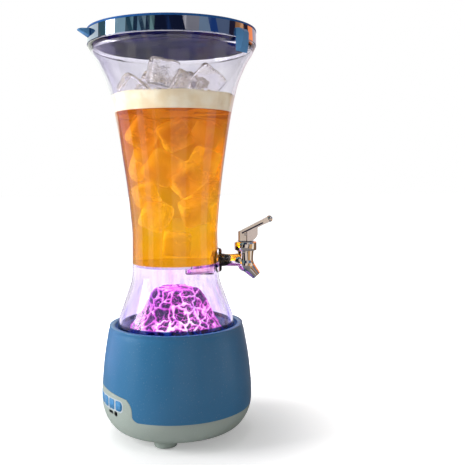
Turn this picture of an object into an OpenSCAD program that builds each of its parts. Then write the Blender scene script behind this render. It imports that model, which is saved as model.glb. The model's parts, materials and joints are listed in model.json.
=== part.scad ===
// Drinks tower for a party table: a clear hourglass tank with a blue lid stands
// on a lit, battery powered base with a loudspeaker, and is emptied through a
// chrome push tap. Origin on the floor on the tank's axis, +Z up, tap along +X.

/* [Tank] */
// Largest outer radius of the skirt that stands in the base
skirt_r = 69.6; // [66:0.1:70]
// Outer radius at the waist
waist_r = 49.6; // [46:0.1:54]
// Outer radius at the mouth
mouth_r = 95.8; // [88:0.1:100]
// Height of the skirt's lower edge above the floor
skirt_z = 116.4; // [114:0.2:118]
// Height of the waist above the floor
waist_z = 236.9; // [225:0.1:250]
// Height of the mouth's shoulder above the floor
mouth_z = 449.4; // [400:0.1:480]
// Wall thickness of the tank
tank_wall = 3; // [2.4:0.1:4]
// Step from the mouth in to the upright collar
collar_step = 3.8; // [3:0.1:6]
// Height of the collar above the shoulder
collar_h = 11.6; // [8:0.1:14]
// Width of each locating lug on the skirt
lug_w = 8; // [5:0.5:12]
// Reach of each locating lug beyond the skirt
lug_reach = 3.4; // [2:0.1:4]
// Height of each locating lug
lug_h = 5; // [3:0.5:8]
// Height of the tank floor's upper face above the table
tank_floor_z = 201.4; // [196:0.1:206]
// Thickness of the tank floor
tank_floor_t = 3; // [2:0.1:5]
// Depth of the sump in front of the tap
sump_depth = 10; // [9.5:0.5:12]
// Length of the sump towards the axis
sump_l = 32; // [20:1:40]
// Width of the sump
sump_w = 30; // [26:0.5:36]

/* [Lid] */
// Reach of the mirror band beyond the mouth
band_proud = 0.3; // [0.1:0.1:3]
// Thickness of the mirror band
band_t = 1.7; // [1:0.1:3]
// Thickness of the lid's top plate
lid_top_t = 2.5; // [2:0.1:4]
// Depth of the plug ring below the collar's top
plug_depth = 10.5; // [6:0.5:14]
// Thickness of the plug ring
plug_t = 2; // [1.5:0.1:3]
// Radial reach of the pointed lug beyond the band
lug_tip = 12; // [6:0.5:16]
// Height of the pointed lug at its root
lug_root_h = 8; // [5:0.5:10]
// Width of the pointed lug
lid_lug_w = 13; // [8:0.5:18]
// Radial reach of the thumb tab beyond the band
tab_reach = 7.4; // [4:0.2:10]
// Drop of the thumb tab below the shoulder
tab_drop = 16; // [8:0.5:20]
// Width of the thumb tab
tab_w = 19; // [12:0.5:24]
// Direction of the thumb tab round the axis
tab_azimuth = -36; // [-60:1:-20]
// Direction of the pointed lug round the axis
lug_azimuth = -156; // [-170:1:-130]

/* [Tap] */
// Height of the tap's shank above the floor
tap_z = 203.6; // [202.6:0.1:205]
// Distance of the tap's upright barrel from the tank's axis
tap_x = 82.5; // [78:0.5:92]
// Radius of the shank outside the tank
shank_r = 7.5; // [6.5:0.1:8]
// Radius of the threaded spigot through the tank wall
spigot_r = 6; // [5:0.1:6.4]
// Radius of the passage in the shank
passage_r = 3.8; // [2.5:0.1:4]
// Radius of the barrel
barrel_r = 9.8; // [9:0.1:11]
// Radius of the bonnet
bonnet_r = 13; // [11.5:0.1:14]
// Height of the bonnet
bonnet_h = 10.7; // [9:0.1:14]
// Length of the spout from the seat to its mouth
spout_l = 19.2; // [15:0.1:26]
// Lean of the spout from the upright
spout_lean = 42; // [30:1:50]
// Radius of the spout at its mouth
spout_mouth_r = 5.5; // [4.8:0.1:7]
// Radius of the spout's bore
spout_bore_r = 3.9; // [2.5:0.1:4]
// Radius of the lifting stem
stem_r = 3; // [2.5:0.1:3.4]
// Rise of the stem for each radian that the lever turns
cam_rise = 4.5; // [3:0.1:5]
// Turn of the lever from closed to fully open
lever_travel = 70; // [40:1:72]
// Reach of the lever beyond its pin
lever_reach = 31.8; // [24:0.2:60]
// Slope of the lever's handle
lever_slope = 26; // [22:1:32]
// Thickness of the lever's handle
handle_t = 5.8; // [4.5:0.1:7]
// Width of the lever
lever_w = 9; // [8.6:0.1:12]

/* [Base] */
// Width from the well out to the base's largest radius
rim_w = 16.5; // [15.5:0.1:20]
// Height of the base's rim above the floor
base_top = 130; // [128:0.5:134]
// Wall thickness of the base
base_wall = 2.6; // [2:0.1:3.4]
// Gap between the tank's skirt and the well
well_gap = 1.9; // [1.4:0.1:2.4]
// Height of the seam between the blue housing and the grey pan
seam_z = 35.5; // [34:0.1:38]
// Height of the pan's underside above the floor
pan_z = 8.5; // [7:0.1:10]
// Turn of the base's control panel and feet round the axis
base_turn = 19.6; // [0:0.1:40]
// Distance of the feet's middle in from the base's largest radius
foot_inset = 34; // [32:0.5:38]
// Radius of each foot
foot_r = 13; // [11:0.5:15]
// Height of the rock lamp above its plate
rock_h = 58; // [40:0.5:58]
// Width of the plate that shows round the rock lamp's foot
rock_inset = 5; // [4:0.5:20]

/* [Control panel] */
// Height of the panel's crest above the floor
panel_top = 63; // [61:0.5:72]
// Half width of the panel
panel_half_w = 57; // [54:0.5:60]
// Angle between neighbouring buttons
button_turn = 9.13; // [8.6:0.01:9.6]
// Width of each button
button_w = 11; // [9:0.1:11.4]
// Height of each button
button_h = 10.8; // [9:0.1:11.4]
// Height of the buttons' middle above the floor
button_z = 49.5; // [48.5:0.1:51]
// Inward travel of each button
button_travel = 0.8; // [0.4:0.1:1]
// Radius of the audio socket's bore
jack_bore_r = 1.8; // [1.7:0.05:2]
// Depth of the audio socket's bore
jack_depth = 14; // [10:0.5:16]

/* [Hidden] */
$fn = 96;
over = 1;
face_gap = 0.3;
run_gap = 0.05;
small_r = 0.6;

BUTTONS = 7;
FEET = 3;
SCREWS = 4;
LUGS = 3;

// Tank outline: shares of the way from the skirt to the waist and on to the mouth
skirt_z_shares = [0, 0.096, 0.196, 0.279, 0.362, 0.445, 0.511, 0.578, 0.661, 0.827];
skirt_r_shares = [1, 0.955, 0.815, 0.635, 0.46, 0.28, 0.14, 0.06, 0.035, 0.015];
flare_z_shares = [0, 0.089, 0.177, 0.309, 0.44, 0.571, 0.657, 0.743, 0.829, 0.915, 0.957, 1];
flare_r_shares = [0, 0.03, 0.066, 0.137, 0.223, 0.319, 0.392, 0.48, 0.598, 0.782, 0.905, 1];
tank_stations = concat(
    [for (i = [0 : len(skirt_z_shares) - 1])
        [waist_r + (skirt_r - waist_r) * skirt_r_shares[i],
         skirt_z + (waist_z - skirt_z) * skirt_z_shares[i]]],
    [for (i = [0 : len(flare_z_shares) - 1])
        [waist_r + (mouth_r - waist_r) * flare_r_shares[i],
         waist_z + (mouth_z - waist_z) * flare_z_shares[i]]]);
tank_outer = smooth(tank_stations, 2);
tank_inner = inset(tank_outer, tank_wall);
collar_r = mouth_r - collar_step;
collar_top = mouth_z + collar_h;
lug_rise = 2;
lug_z = skirt_z + lug_rise;
first_lug_turn = -112.6;
boss_proud = 2;
boss_out_x = waist_r + boss_proud;
boss_in_x = 43.5;
boss_out_r = 14.5;
boss_in_r = 11.4;

// Tank floor
bond_gap = 0.1;
floor_r = waist_r - tank_wall - bond_gap;
sump_z = tank_floor_z - sump_depth;
sump_wall = 2.6;
sump_corner = 6;

// Base outline: shares of the largest radius and of the way from the pan to the rim
base_r_shares = [0.75, 0.815, 0.886, 0.956, 0.993, 1, 1, 0.994, 0.985, 0.974, 0.96, 0.943,
    0.924, 0.905];
base_z_shares = [0, 0.013, 0.055, 0.135, 0.222, 0.29, 0.4, 0.46, 0.54, 0.62, 0.7, 0.78,
    0.86, 0.938];
well_r = skirt_r + well_gap;
base_r = well_r + rim_w;
base_stations = [for (i = [0 : len(base_r_shares) - 1])
    [base_r * base_r_shares[i], pan_z + (base_top - pan_z) * base_z_shares[i]]];
base_outer = smooth(base_stations, 2);
base_inner = inset(base_outer, base_wall);
rim_edge_r = 3;
rim_lip_r = 1.2;
rim_r = base_outer[len(base_outer) - 1][0];
gasket_t = 1.4;
deck_z = skirt_z - gasket_t;
deck_t = 3;
slot_gap = 0.5;

// Control panel
panel_corner = 17;
panel_foot_fillet = 7;
panel_foot_dip = 0.3;
panel_dome_r = 330;
panel_gap = 0.35;
frame_margin = 1.6;
frame_t = 3.4;
frame_corner = 5;
button_gap = 0.3;
button_corner = 2;
button_end_corner = 5;
flange_margin = 0.7;
flange_t = 1.2;
button_back_r = base_r - frame_t - face_gap - flange_t;
plunger_gap = button_travel + run_gap;
switch_size = 6;
switch_t = 3.4;
plunger_r = 1.6;
plunger_l = 0.9;
board_t = 1.6;
switch_r = button_back_r - plunger_gap - plunger_l;
button_board_r = switch_r - switch_t;
port_z = 39.6;
usb_turn = 16.9;
usb_w = 9;
usb_h = 3.3;
usb_wall = 0.4;
usb_depth = 7.6;
jack_turn = 23.6;
jack_r = 2.9;
port_sink = 0.9;
port_out_r = base_r - port_sink;

// Feet, speaker and electronics
foot_ring_r = base_r - foot_inset;
pad_r = 9;
pad_t = 2;
pad_proud = 0.8;
foot_root_r = 15.2;
foot_fillet = 2.2;
foot_edge = 2;
screw_inset = 24;
screw_ring_r = base_r - screw_inset;
screw_r = 1.5;
screw_head_r = 2.9;
screw_head_t = 2;
screw_l = 26;
boss_r = 5;
boss_top = 34;
counterbore = 5;
grille_gap = 2.8;
grille_lap = 4;
speaker_lap = 2;
grille_r = foot_ring_r - foot_root_r - grille_gap;
speaker_r = grille_r + speaker_lap;
speaker_hole_r = grille_r - grille_lap;
speaker_flange_t = 2;
speaker_h = 22;
magnet_r = 22;
magnet_h = 12;
cone_depth = 13;
cone_t = 0.8;
coil_r = 10;
cap_r = 11;
grille_t = 1.6;
grille_hole_r = 1.7;
grille_pitch = 5.2;
GRILLE_RINGS = floor(speaker_hole_r / grille_pitch) - 1;
cell_r = 9;
cell_l = 65;
cell_inset = 40;
cell_x = base_r - cell_inset;
tray_t = 1.6;
board_z = 66;
main_l = 90;
main_w = 56;
post_r = 3.5;
led_size = 5;
led_t = 1.6;
led_inset = 16;
LEDS = 12;
plate_inset = 9.5;
lamp_plate_r = well_r - plate_inset;
lamp_plate_t = 2;
lamp_ledge = 8;
lamp_hole_r = lamp_plate_r - lamp_ledge;
led_ring_r = lamp_hole_r - led_inset;
led_lap = 4;
led_board_r = lamp_hole_r + led_lap;

// Rock lamp
rock_r = lamp_plate_r - rock_inset;
rock_lump = 3.2;
ROCK_SIDES = 30;
ROCK_RINGS = 10;

// Lid
lid_gasket_t = 1;
plate_z = collar_top + lid_gasket_t;
lid_top = plate_z + 2 * lid_top_t;
lid_gap = 0.5;
band_r = mouth_r + band_proud;
band_z = mouth_z + lid_gap;
skirt_in_r = collar_r + lid_gap;
skirt_out_r = band_r - band_t;
plug_gap = 0.6;
plug_r = collar_r - tank_wall - plug_gap;
cap_r_over = 0.3;
cap_edge = 1.2;
lip_t = 0.8;

// Tap
seat_drop = 4.6;
seat_z = tap_z - seat_drop;
barrel_rise = 11.4;
barrel_top = tap_z + barrel_rise;
bonnet_z = barrel_top;
bonnet_top = bonnet_z + bonnet_h;
bonnet_plate = 4.7;
bonnet_edge = 2;
neck_r = 8.4;
neck_h = 5;
chamber_r = 6.2;
barrel_waist = 0.9;
spout_root_r = 9;
spout_step = 0.5;
spout_bore_l = 10;
washer_r = 14;
washer_t = 2.8;
washer_dome_share = 0.7;
inner_washer_r = 10.6;
inner_washer_t = 1.5;
nut_flat_r = 9.4;
nut_t = 4.4;
spigot_proud = 2;
spigot_l = boss_in_x - inner_washer_t - nut_t - spigot_proud;
shank_x = boss_out_x + washer_t;
seal_r = 5.9;
seal_t = 2.6;
collar_stem_r = 5.4;
collar_stem_t = 1.6;
spring_in_r = 3.5;
spring_out_r = 5.1;

// Lever and its cam: the cheeks' lower edge keeps touching the bonnet as it turns
pin_rise = 8.1;
pin_z = bonnet_top + pin_rise;
pin_r = 1.6;
pin_head = 0.5;
cheek_gap = 5.4;
eye_r = 4;
eye_t = 5;
lever_back = 8.5;
slot_back = 4.6;
slot_top = 4.4;
cam_clear = 0.08;
CAM_STEPS = 10;
grip_r = 3.6;
tip_l = 8;

// Smooth curve through stations, with n steps between neighbours
function smooth(p, n) = [for (i = [0 : len(p) - 2], k = [0 : n - 1])
    between(p[max(i - 1, 0)], p[i], p[i + 1], p[min(i + 2, len(p) - 1)], k / n),
    p[len(p) - 1]];
function between(a, b, c, d, t) = b + t * (c - a) / 2
    + t * t * (2 * a - 5 * b + 4 * c - d) / 2
    + t * t * t * (3 * b - a - 3 * c + d) / 2;
// The same outline moved inwards by w, square to itself
function inset(p, w) = [for (i = [0 : len(p) - 1])
    let (v = p[min(i + 1, len(p) - 1)] - p[max(i - 1, 0)])
    p[i] + w * [-v[1], v[0]] / norm(v)];
function reversed(p) = [for (i = [len(p) - 1 : -1 : 0]) p[i]];

// Ring between two radii
module ring(r_out, r_in, z, h) {
    translate([0, 0, z])
        difference() {
            cylinder(r = r_out, h = h);
            translate([0, 0, -over]) cylinder(r = r_in, h = h + 2 * over);
        }
}

// Block with rounded upright corners, lying along X from x0
module radial_block(x0, x1, w, h, corner) {
    translate([x0, 0, 0])
        rotate([90, 0, 90])
            linear_extrude(height = x1 - x0) rounded(w, h, corner);
}

module rounded(w, h, corner) {
    square([w - 2 * corner, h], center = true);
    square([w, h - 2 * corner], center = true);
    for (sx = [-1, 1], sy = [-1, 1])
        translate([sx * (w / 2 - corner), sy * (h / 2 - corner)])
            circle(r = corner, $fn = 32);
}

// Turns to the middle of the control panel, and by a further angle
module at_panel(turn) {
    rotate([0, 0, base_turn + 180 + turn]) children();
}

// Outline of the grey panel's tongue, seen square on
module tongue(extra) {
    half = panel_half_w + extra;
    top = panel_top + extra;
    intersection() {
        union() {
            translate([-half, seam_z - panel_foot_fillet])
                square([2 * half, top - panel_corner - seam_z + panel_foot_fillet]);
            translate([panel_corner - half, seam_z])
                square([2 * (half - panel_corner), top - seam_z]);
            for (s = [-1, 1])
                translate([s * (half - panel_corner), top - panel_corner])
                    circle(r = panel_corner, $fn = 64);
        }
        translate([0, top - panel_dome_r])
            circle(r = panel_dome_r, $fn = 180);
    }
    for (s = [-1, 1])
        difference() {
            translate([s * (half + panel_foot_fillet / 2), seam_z + panel_foot_fillet / 2 - over])
                square([panel_foot_fillet, panel_foot_fillet + 2 * over], center = true);
            translate([s * (half + panel_foot_fillet), seam_z + panel_foot_fillet - panel_foot_dip])
                circle(r = panel_foot_fillet, $fn = 48);
        }
}

module tongue_prism(extra) {
    at_panel(0)
        rotate([90, 0, 90])
            linear_extrude(height = base_r + over) tongue(extra);
}

// Points of the base's outline, or of its inset, between two heights
function cut_at(p, z) = [lookup(z, [for (q = p) [q[1], q[0]]]), z];
function between_heights(p, z0, z1) = concat([cut_at(p, z0)],
    [for (q = p) if (q[1] > z0 && q[1] < z1) q], [cut_at(p, z1)]);

// Blue housing: one revolved shell with its rim, well and deck
module base_housing() {
    deck_under = deck_z - deck_t;
    rise = base_top - base_outer[len(base_outer) - 1][1];
    color("steelblue")
        difference() {
            union() {
                rotate_extrude($fn = 180)
                    polygon(concat(
                        between_heights(base_outer, seam_z, base_outer[len(base_outer) - 1][1]),
                        [[rim_r - rise / 4, base_top - rim_edge_r / 2],
                         [rim_r - rim_edge_r / 2, base_top - rim_edge_r / 8],
                         [rim_r - rim_edge_r, base_top], [well_r + rim_lip_r, base_top],
                         [well_r, base_top - rim_lip_r], [well_r, deck_z],
                         [lamp_hole_r, deck_z], [lamp_hole_r, deck_under]],
                        reversed(between_heights(base_inner, seam_z, deck_under))));
                screw_bosses();
            }
            lug_slots();
            tongue_prism(panel_gap);
        }
}

// Upright slots that the tank's locating lugs drop into
module lug_slots() {
    for (i = [0 : LUGS - 1])
        rotate([0, 0, lug_turn(i)])
            translate([0, -lug_w / 2 - slot_gap, deck_z])
                cube([skirt_r + lug_reach + slot_gap, lug_w + 2 * slot_gap, base_top]);
}

function screw_turn(i) = base_turn + (i + 0.5) * 360 / SCREWS;
function lug_turn(i) = base_turn + first_lug_turn + i * 360 / LUGS;

// Posts under the deck that take the base screws
module screw_bosses() {
    for (i = [0 : SCREWS - 1])
        rotate([0, 0, screw_turn(i)])
            translate([screw_ring_r, 0, 0])
                difference() {
                    translate([0, 0, boss_top])
                        cylinder(r = boss_r, h = deck_z - deck_t / 2 - boss_top, $fn = 48);
                    translate([0, 0, boss_top - over])
                        cylinder(r = screw_r, h = screw_l, $fn = 32);
                }
}

// Grey pan: tub, panel tongue, feet, grille window and ports
module base_pan() {
    color("lightgray")
        difference() {
            union() {
                difference() {
                    tub();
                    difference() {
                        translate([0, 0, seam_z])
                            cylinder(r = base_r + over, h = panel_top);
                        tongue_prism(0);
                    }
                }
                feet();
                pan_bosses();
            }
            at_frame(0, base_r - 2 * base_wall, base_r + over);
            ports();
            foot_recesses();
            translate([0, 0, pan_z - over])
                cylinder(r = speaker_hole_r, h = base_wall + 2 * over);
            screw_holes();
        }
}

module tub() {
    floor_top = pan_z + base_wall;
    tub_top = panel_top + over;
    rotate_extrude($fn = 180)
        polygon(concat([[0, pan_z]], between_heights(base_outer, pan_z, tub_top),
            reversed(between_heights(base_inner, floor_top, tub_top)), [[0, floor_top]]));
}

module feet() {
    for (i = [0 : FEET - 1])
        rotate([0, 0, base_turn + i * 360 / FEET])
            translate([foot_ring_r, 0, 0])
                rotate_extrude($fn = 64)
                    polygon([[0, pad_proud], [foot_r - foot_edge, pad_proud],
                        [foot_r - foot_edge / 4, pad_proud + foot_edge / 4],
                        [foot_r, pad_proud + foot_edge], [foot_r, pan_z - foot_fillet],
                        [foot_r + foot_fillet / 4, pan_z - foot_fillet / 4],
                        [foot_root_r, pan_z], [foot_root_r, pan_z + base_wall / 2],
                        [0, pan_z + base_wall / 2]]);
}

module foot_recesses() {
    for (i = [0 : FEET - 1])
        rotate([0, 0, base_turn + i * 360 / FEET])
            translate([foot_ring_r, 0, 0])
                cylinder(r = pad_r, h = pad_t, $fn = 64);
}

module foot_pads() {
    color("dimgray")
        for (i = [0 : FEET - 1])
            rotate([0, 0, base_turn + i * 360 / FEET])
                translate([foot_ring_r, 0, 0])
                    rotate_extrude($fn = 64)
                        polygon([[0, 0], [pad_r - small_r, 0], [pad_r, small_r],
                            [pad_r, pad_t], [0, pad_t]]);
}

module pan_bosses() {
    for (i = [0 : SCREWS - 1])
        rotate([0, 0, screw_turn(i)])
            translate([screw_ring_r, 0, pan_z + base_wall / 2])
                cylinder(r = boss_r, h = boss_top - pan_z - base_wall / 2, $fn = 48);
    for (sx = [-1, 1], sy = [-1, 1])
        rotate([0, 0, base_turn])
            translate([sx * (main_l / 2 - post_r), sy * (main_w / 2 - post_r), pan_z + base_wall / 2])
                cylinder(r = post_r, h = board_z - pan_z - base_wall / 2, $fn = 32);
}

module screw_holes() {
    for (i = [0 : SCREWS - 1])
        rotate([0, 0, screw_turn(i)])
            translate([screw_ring_r, 0, 0]) {
                cylinder(r = screw_r, h = boss_top + over, $fn = 32);
                cylinder(r = screw_head_r, h = pan_z + counterbore, $fn = 48);
            }
}

module base_screws() {
    color("silver")
        for (i = [0 : SCREWS - 1])
            rotate([0, 0, screw_turn(i)])
                translate([screw_ring_r, 0, pan_z + counterbore - screw_head_t]) {
                    cylinder(r = screw_head_r - run_gap, h = screw_head_t, $fn = 48);
                    cylinder(r = screw_r, h = screw_head_t + screw_l, $fn = 32);
                }
}

// Cylindrical shell between two radii, one key high
module key_shell(r0, r1) {
    ring(r1, r0, button_z - button_h, 2 * button_h);
}

// Frame round the row of buttons: a bent bar with rounded ends
module at_frame(extra, r0, r1) {
    end = (BUTTONS - 1) / 2 * button_turn;
    h = button_h + 2 * (frame_margin + extra);
    w = button_w + 2 * (frame_margin + extra);
    reach = 2 * base_r;
    intersection() {
        ring(r1, r0, button_z - h / 2, h);
        union() {
            at_panel(0)
                linear_extrude(height = button_z + h)
                    polygon([[0, 0], [reach * cos(end), -reach * sin(end)],
                        [reach * cos(end), reach * sin(end)]]);
            for (s = [-1, 1])
                at_panel(s * end)
                    translate([0, 0, button_z])
                        radial_block(r0 / 2, r1 + over, w, h + run_gap, frame_corner);
        }
    }
}

// Key i, grown by extra, between two radii
module key(i, extra, r0, r1) {
    turn = ((BUTTONS + 1) / 2 - i) * button_turn;
    intersection() {
        key_shell(r0, r1);
        at_panel(turn)
            translate([0, 0, button_z])
                difference() {
                    radial_block(r0 / 2, r1 + over, button_w + 2 * extra,
                        button_h + 2 * extra, button_corner);
                    if (i == 1) end_round(1, extra, r1);
                    if (i == BUTTONS) end_round(-1, extra, r1);
                }
    }
}

// Cuts the outer corners of an end key to a D shape
module end_round(side, extra, r1) {
    for (sz = [-1, 1])
        translate([0, side * (button_w / 2 + extra), sz * (button_h / 2 + extra)])
            difference() {
                rotate([0, 90, 0])
                    linear_extrude(height = r1 + 2 * over)
                        square(2 * button_end_corner, center = true);
                translate([0, -side * button_end_corner, -sz * button_end_corner])
                    rotate([0, 90, 0]) cylinder(r = button_end_corner, h = r1 + 2 * over, $fn = 48);
                translate([0, -side * 2 * button_end_corner, 0])
                    rotate([0, 90, 0])
                        linear_extrude(height = r1 + 2 * over)
                            square([4 * button_end_corner, 2 * button_end_corner], center = true);
            }
}

module panel_frame() {
    color("white")
        difference() {
            at_frame(0, base_r - frame_t, base_r);
            for (i = [1 : BUTTONS]) key(i, button_gap, base_r - 2 * frame_t, base_r + over);
        }
}

module button(i) {
    color("deepskyblue") {
        key(i, 0, button_back_r, base_r + small_r / 2);
        key(i, flange_margin, button_back_r, button_back_r + flange_t);
    }
}

module button_board() {
    end = (BUTTONS - 1) / 2 * button_turn + button_turn / 2;
    color("seagreen")
        at_panel(-end)
            rotate_extrude(angle = 2 * end, $fn = 180)
                translate([button_board_r - board_t, button_z - switch_size])
                    square([board_t, 2 * switch_size]);
}

module tact_switches() {
    color("black")
        for (i = [1 : BUTTONS])
            at_panel(((BUTTONS + 1) / 2 - i) * button_turn)
                translate([0, 0, button_z])
                    intersection() {
                        union() {
                            translate([button_board_r - small_r, -switch_size / 2, -switch_size / 2])
                                cube([switch_t + small_r, switch_size, switch_size]);
                            rotate([0, 90, 0])
                                cylinder(r = plunger_r, h = switch_r + plunger_l, $fn = 32);
                        }
                        ring(base_r, button_board_r, -switch_size, 2 * switch_size);
                    }
}

// Openings for the charging socket and the audio socket
module ports() {
    at_panel(usb_turn)
        translate([0, 0, port_z])
            radial_block(base_r / 2, base_r + over, usb_w + 2 * face_gap, usb_h + 2 * face_gap,
                usb_h / 2);
    at_panel(jack_turn)
        translate([0, 0, port_z])
            rotate([0, 90, 0]) cylinder(r = jack_r + face_gap, h = base_r + over, $fn = 48);
}

module usb_socket() {
    color("silver")
        at_panel(usb_turn)
            translate([0, 0, port_z])
                difference() {
                    radial_block(port_out_r - usb_depth, port_out_r, usb_w, usb_h, usb_h / 2 - usb_wall);
                    radial_block(port_out_r - usb_depth + usb_wall, port_out_r + over,
                        usb_w - 2 * usb_wall, usb_h - 2 * usb_wall, usb_h / 2 - 2 * usb_wall);
                }
}

module audio_jack() {
    color("black")
        at_panel(jack_turn)
            translate([0, 0, port_z])
                rotate([0, 90, 0])
                    difference() {
                        translate([0, 0, port_out_r - jack_depth - usb_wall])
                            cylinder(r = jack_r, h = jack_depth + usb_wall, $fn = 48);
                        translate([0, 0, port_out_r - jack_depth])
                            cylinder(r = jack_bore_r, h = jack_depth + over, $fn = 48);
                    }
}

module main_board() {
    color("seagreen")
        rotate([0, 0, base_turn])
            translate([-main_l / 2, -main_w / 2, board_z]) cube([main_l, main_w, board_t]);
}

module battery_tray() {
    color("dimgray")
        for (s = [-1, 1])
            rotate([0, 0, base_turn])
                translate([-cell_l / 2 - tray_t, s * cell_x - cell_r, pan_z + base_wall])
                    difference() {
                        cube([cell_l + 2 * tray_t, 2 * cell_r, cell_r + tray_t]);
                        translate([tray_t, cell_r, cell_r + tray_t])
                            rotate([0, 90, 0]) cylinder(r = cell_r - small_r + run_gap, h = cell_l);
                    }
}

module battery_cells() {
    color("darkgreen")
        for (s = [-1, 1])
            rotate([0, 0, base_turn])
                translate([-cell_l / 2, s * cell_x, pan_z + base_wall + cell_r + tray_t])
                    rotate([0, 90, 0]) cylinder(r = cell_r - small_r, h = cell_l);
}

// Loudspeaker that faces down through the grille
module speaker_basket() {
    z = pan_z + base_wall;
    color("black")
        rotate_extrude()
            polygon([[speaker_hole_r, z], [speaker_r, z], [speaker_r, z + speaker_flange_t],
                [speaker_hole_r + speaker_flange_t, z + speaker_flange_t],
                [magnet_r, z + speaker_h], [coil_r, z + speaker_h],
                [coil_r, z + speaker_h - speaker_flange_t],
                [magnet_r - speaker_flange_t, z + speaker_h - speaker_flange_t],
                [speaker_hole_r, z + speaker_flange_t]]);
}

module speaker_magnet() {
    color("gray")
        ring(magnet_r, coil_r, pan_z + base_wall + speaker_h, magnet_h);
}

module speaker_cone() {
    z = pan_z + base_wall;
    r0 = speaker_hole_r;
    color("darkslategray")
        rotate_extrude()
            polygon([[0, z + cap_r / 2], [cap_r / 2, z + cap_r / 3 + over], [cap_r, z + cone_depth - cone_t],
                [r0 - over, z], [r0, z], [r0, z + cone_t],
                [r0 - over, z + cone_t], [coil_r, z + cone_depth + cone_t],
                [coil_r - over, z + cone_depth], [cap_r / 2, z + cap_r / 3 + over + cone_t],
                [0, z + cap_r / 2 + cone_t]]);
}

module speaker_grille() {
    color("silver")
        difference() {
            translate([0, 0, pan_z - grille_t]) cylinder(r = grille_r, h = grille_t);
            for (k = [0 : GRILLE_RINGS])
                for (i = [0 : max(6 * k, 1) - 1])
                    rotate([0, 0, i * 360 / max(6 * k, 1)])
                        translate([k * grille_pitch, 0, pan_z - grille_t - over])
                            cylinder(r = grille_hole_r, h = grille_t + 2 * over, $fn = 24);
        }
}

module lamp_plate() {
    color("white")
        translate([0, 0, deck_z]) cylinder(r = lamp_plate_r, h = lamp_plate_t);
}

module led_board() {
    color("seagreen")
        translate([0, 0, deck_z - deck_t - board_t]) cylinder(r = led_board_r, h = board_t);
}

module leds() {
    color("magenta")
        for (i = [0 : LEDS - 1])
            rotate([0, 0, i * 360 / LEDS])
                translate([led_ring_r - led_size / 2, -led_size / 2, deck_z - deck_t])
                    cube([led_size, led_size, led_t]);
}

// Lumpy rock lamp: rings of points on a mound, pushed in and out in lumps
function rock_point(k, i) =
    let (t = k / ROCK_RINGS,
        a = i * 360 / ROCK_SIDES,
        up = sin(90 * t),
        out = pow(cos(90 * t), 0.75),
        lump = sin(4 * a + 200 * t) * sin(300 * t + 60) + sin(7 * a - 260 * t) / 2,
        r = rock_r * out - rock_lump * (1 - lump) * sin(180 * min(t + 0.15, 1)) / 2)
    [r * cos(a), r * sin(a), deck_z + lamp_plate_t + rock_h * up];

module rock_lamp() {
    n = ROCK_SIDES;
    rings = ROCK_RINGS;
    points = concat([for (k = [0 : rings - 1], i = [0 : n - 1]) rock_point(k, i)],
        [[0, 0, deck_z + lamp_plate_t + rock_h]]);
    floor_face = [[for (i = [0 : n - 1]) i]];
    sides = [for (k = [0 : rings - 2], i = [0 : n - 1], h = [0, 1])
        h == 0 ? [k * n + i, (k + 1) * n + i, (k + 1) * n + (i + 1) % n]
            : [k * n + i, (k + 1) * n + (i + 1) % n, k * n + (i + 1) % n]];
    crown = [for (i = [0 : n - 1])
        [(rings - 1) * n + i, rings * n, (rings - 1) * n + (i + 1) % n]];
    color("violet")
        polyhedron(points, concat(floor_face, sides, crown));
}

module seat_gasket() {
    color("black")
        ring(skirt_r + face_gap, skirt_r - 2 * tank_wall, deck_z, gasket_t);
}

// Clear tank: revolved wall, shoulder, collar, locating lugs and the tap's boss
module tank() {
    color("lavender", 0.4)
        difference() {
            union() {
                rotate_extrude($fn = 180)
                    polygon(concat(tank_outer,
                        [[collar_r, mouth_z], [collar_r, collar_top],
                         [collar_r - tank_wall, collar_top],
                         [collar_r - tank_wall, mouth_z - tank_wall]],
                        reversed(between_heights(tank_inner, skirt_z, mouth_z - tank_wall - over))));
                for (i = [0 : LUGS - 1])
                    rotate([0, 0, lug_turn(i)])
                        translate([skirt_r - tank_wall / 2, -lug_w / 2, lug_z])
                            cube([lug_reach + tank_wall / 2, lug_w, lug_h]);
                translate([boss_in_x, 0, tap_z])
                    rotate([0, 90, 0]) cylinder(r = boss_in_r, h = waist_r - tank_wall / 2 - boss_in_x);
                translate([waist_r - tank_wall, 0, tap_z])
                    rotate([0, 90, 0]) {
                        cylinder(r = boss_out_r, h = boss_out_x - waist_r + tank_wall - small_r);
                        cylinder(r = boss_out_r - small_r, h = boss_out_x - waist_r + tank_wall);
                    }
            }
            translate([boss_in_x - over, 0, tap_z])
                rotate([0, 90, 0]) cylinder(r = spigot_r + face_gap, h = boss_out_x);
        }
}

// Tank floor with its sump, bonded to the wall
module tank_floor() {
    color("white", 0.5)
        difference() {
            intersection() {
                translate([0, 0, sump_z - sump_wall])
                    cylinder(r = floor_r, h = tank_floor_z - sump_z + sump_wall);
                union() {
                    translate([0, 0, tank_floor_z - tank_floor_t])
                        cylinder(r = floor_r, h = tank_floor_t);
                    sump(sump_wall, sump_z - sump_wall);
                }
            }
            sump(0, sump_z);
            translate([boss_in_x / 2, 0, tap_z])
                rotate([0, 90, 0]) cylinder(r = boss_in_r + 2 * run_gap, h = floor_r);
        }
}

module sump(extra, z) {
    translate([floor_r - sump_l / 2, 0, z])
        linear_extrude(height = tank_floor_z - z + (extra == 0 ? over : 0))
            rounded(sump_l + 2 * extra, sump_w + 2 * extra, sump_corner);
}

module tap_washer_outer() {
    color("whitesmoke", 0.5)
        translate([boss_out_x, 0, tap_z])
            rotate([0, 90, 0])
                rotate_extrude()
                    polygon([[spigot_r + run_gap, 0], [washer_r, 0], [washer_r, washer_t / 4],
                        [washer_r - washer_t / 4, washer_t * washer_dome_share],
                        [washer_r - washer_t * washer_dome_share, washer_t], [spigot_r + run_gap, washer_t]]);
}

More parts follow.
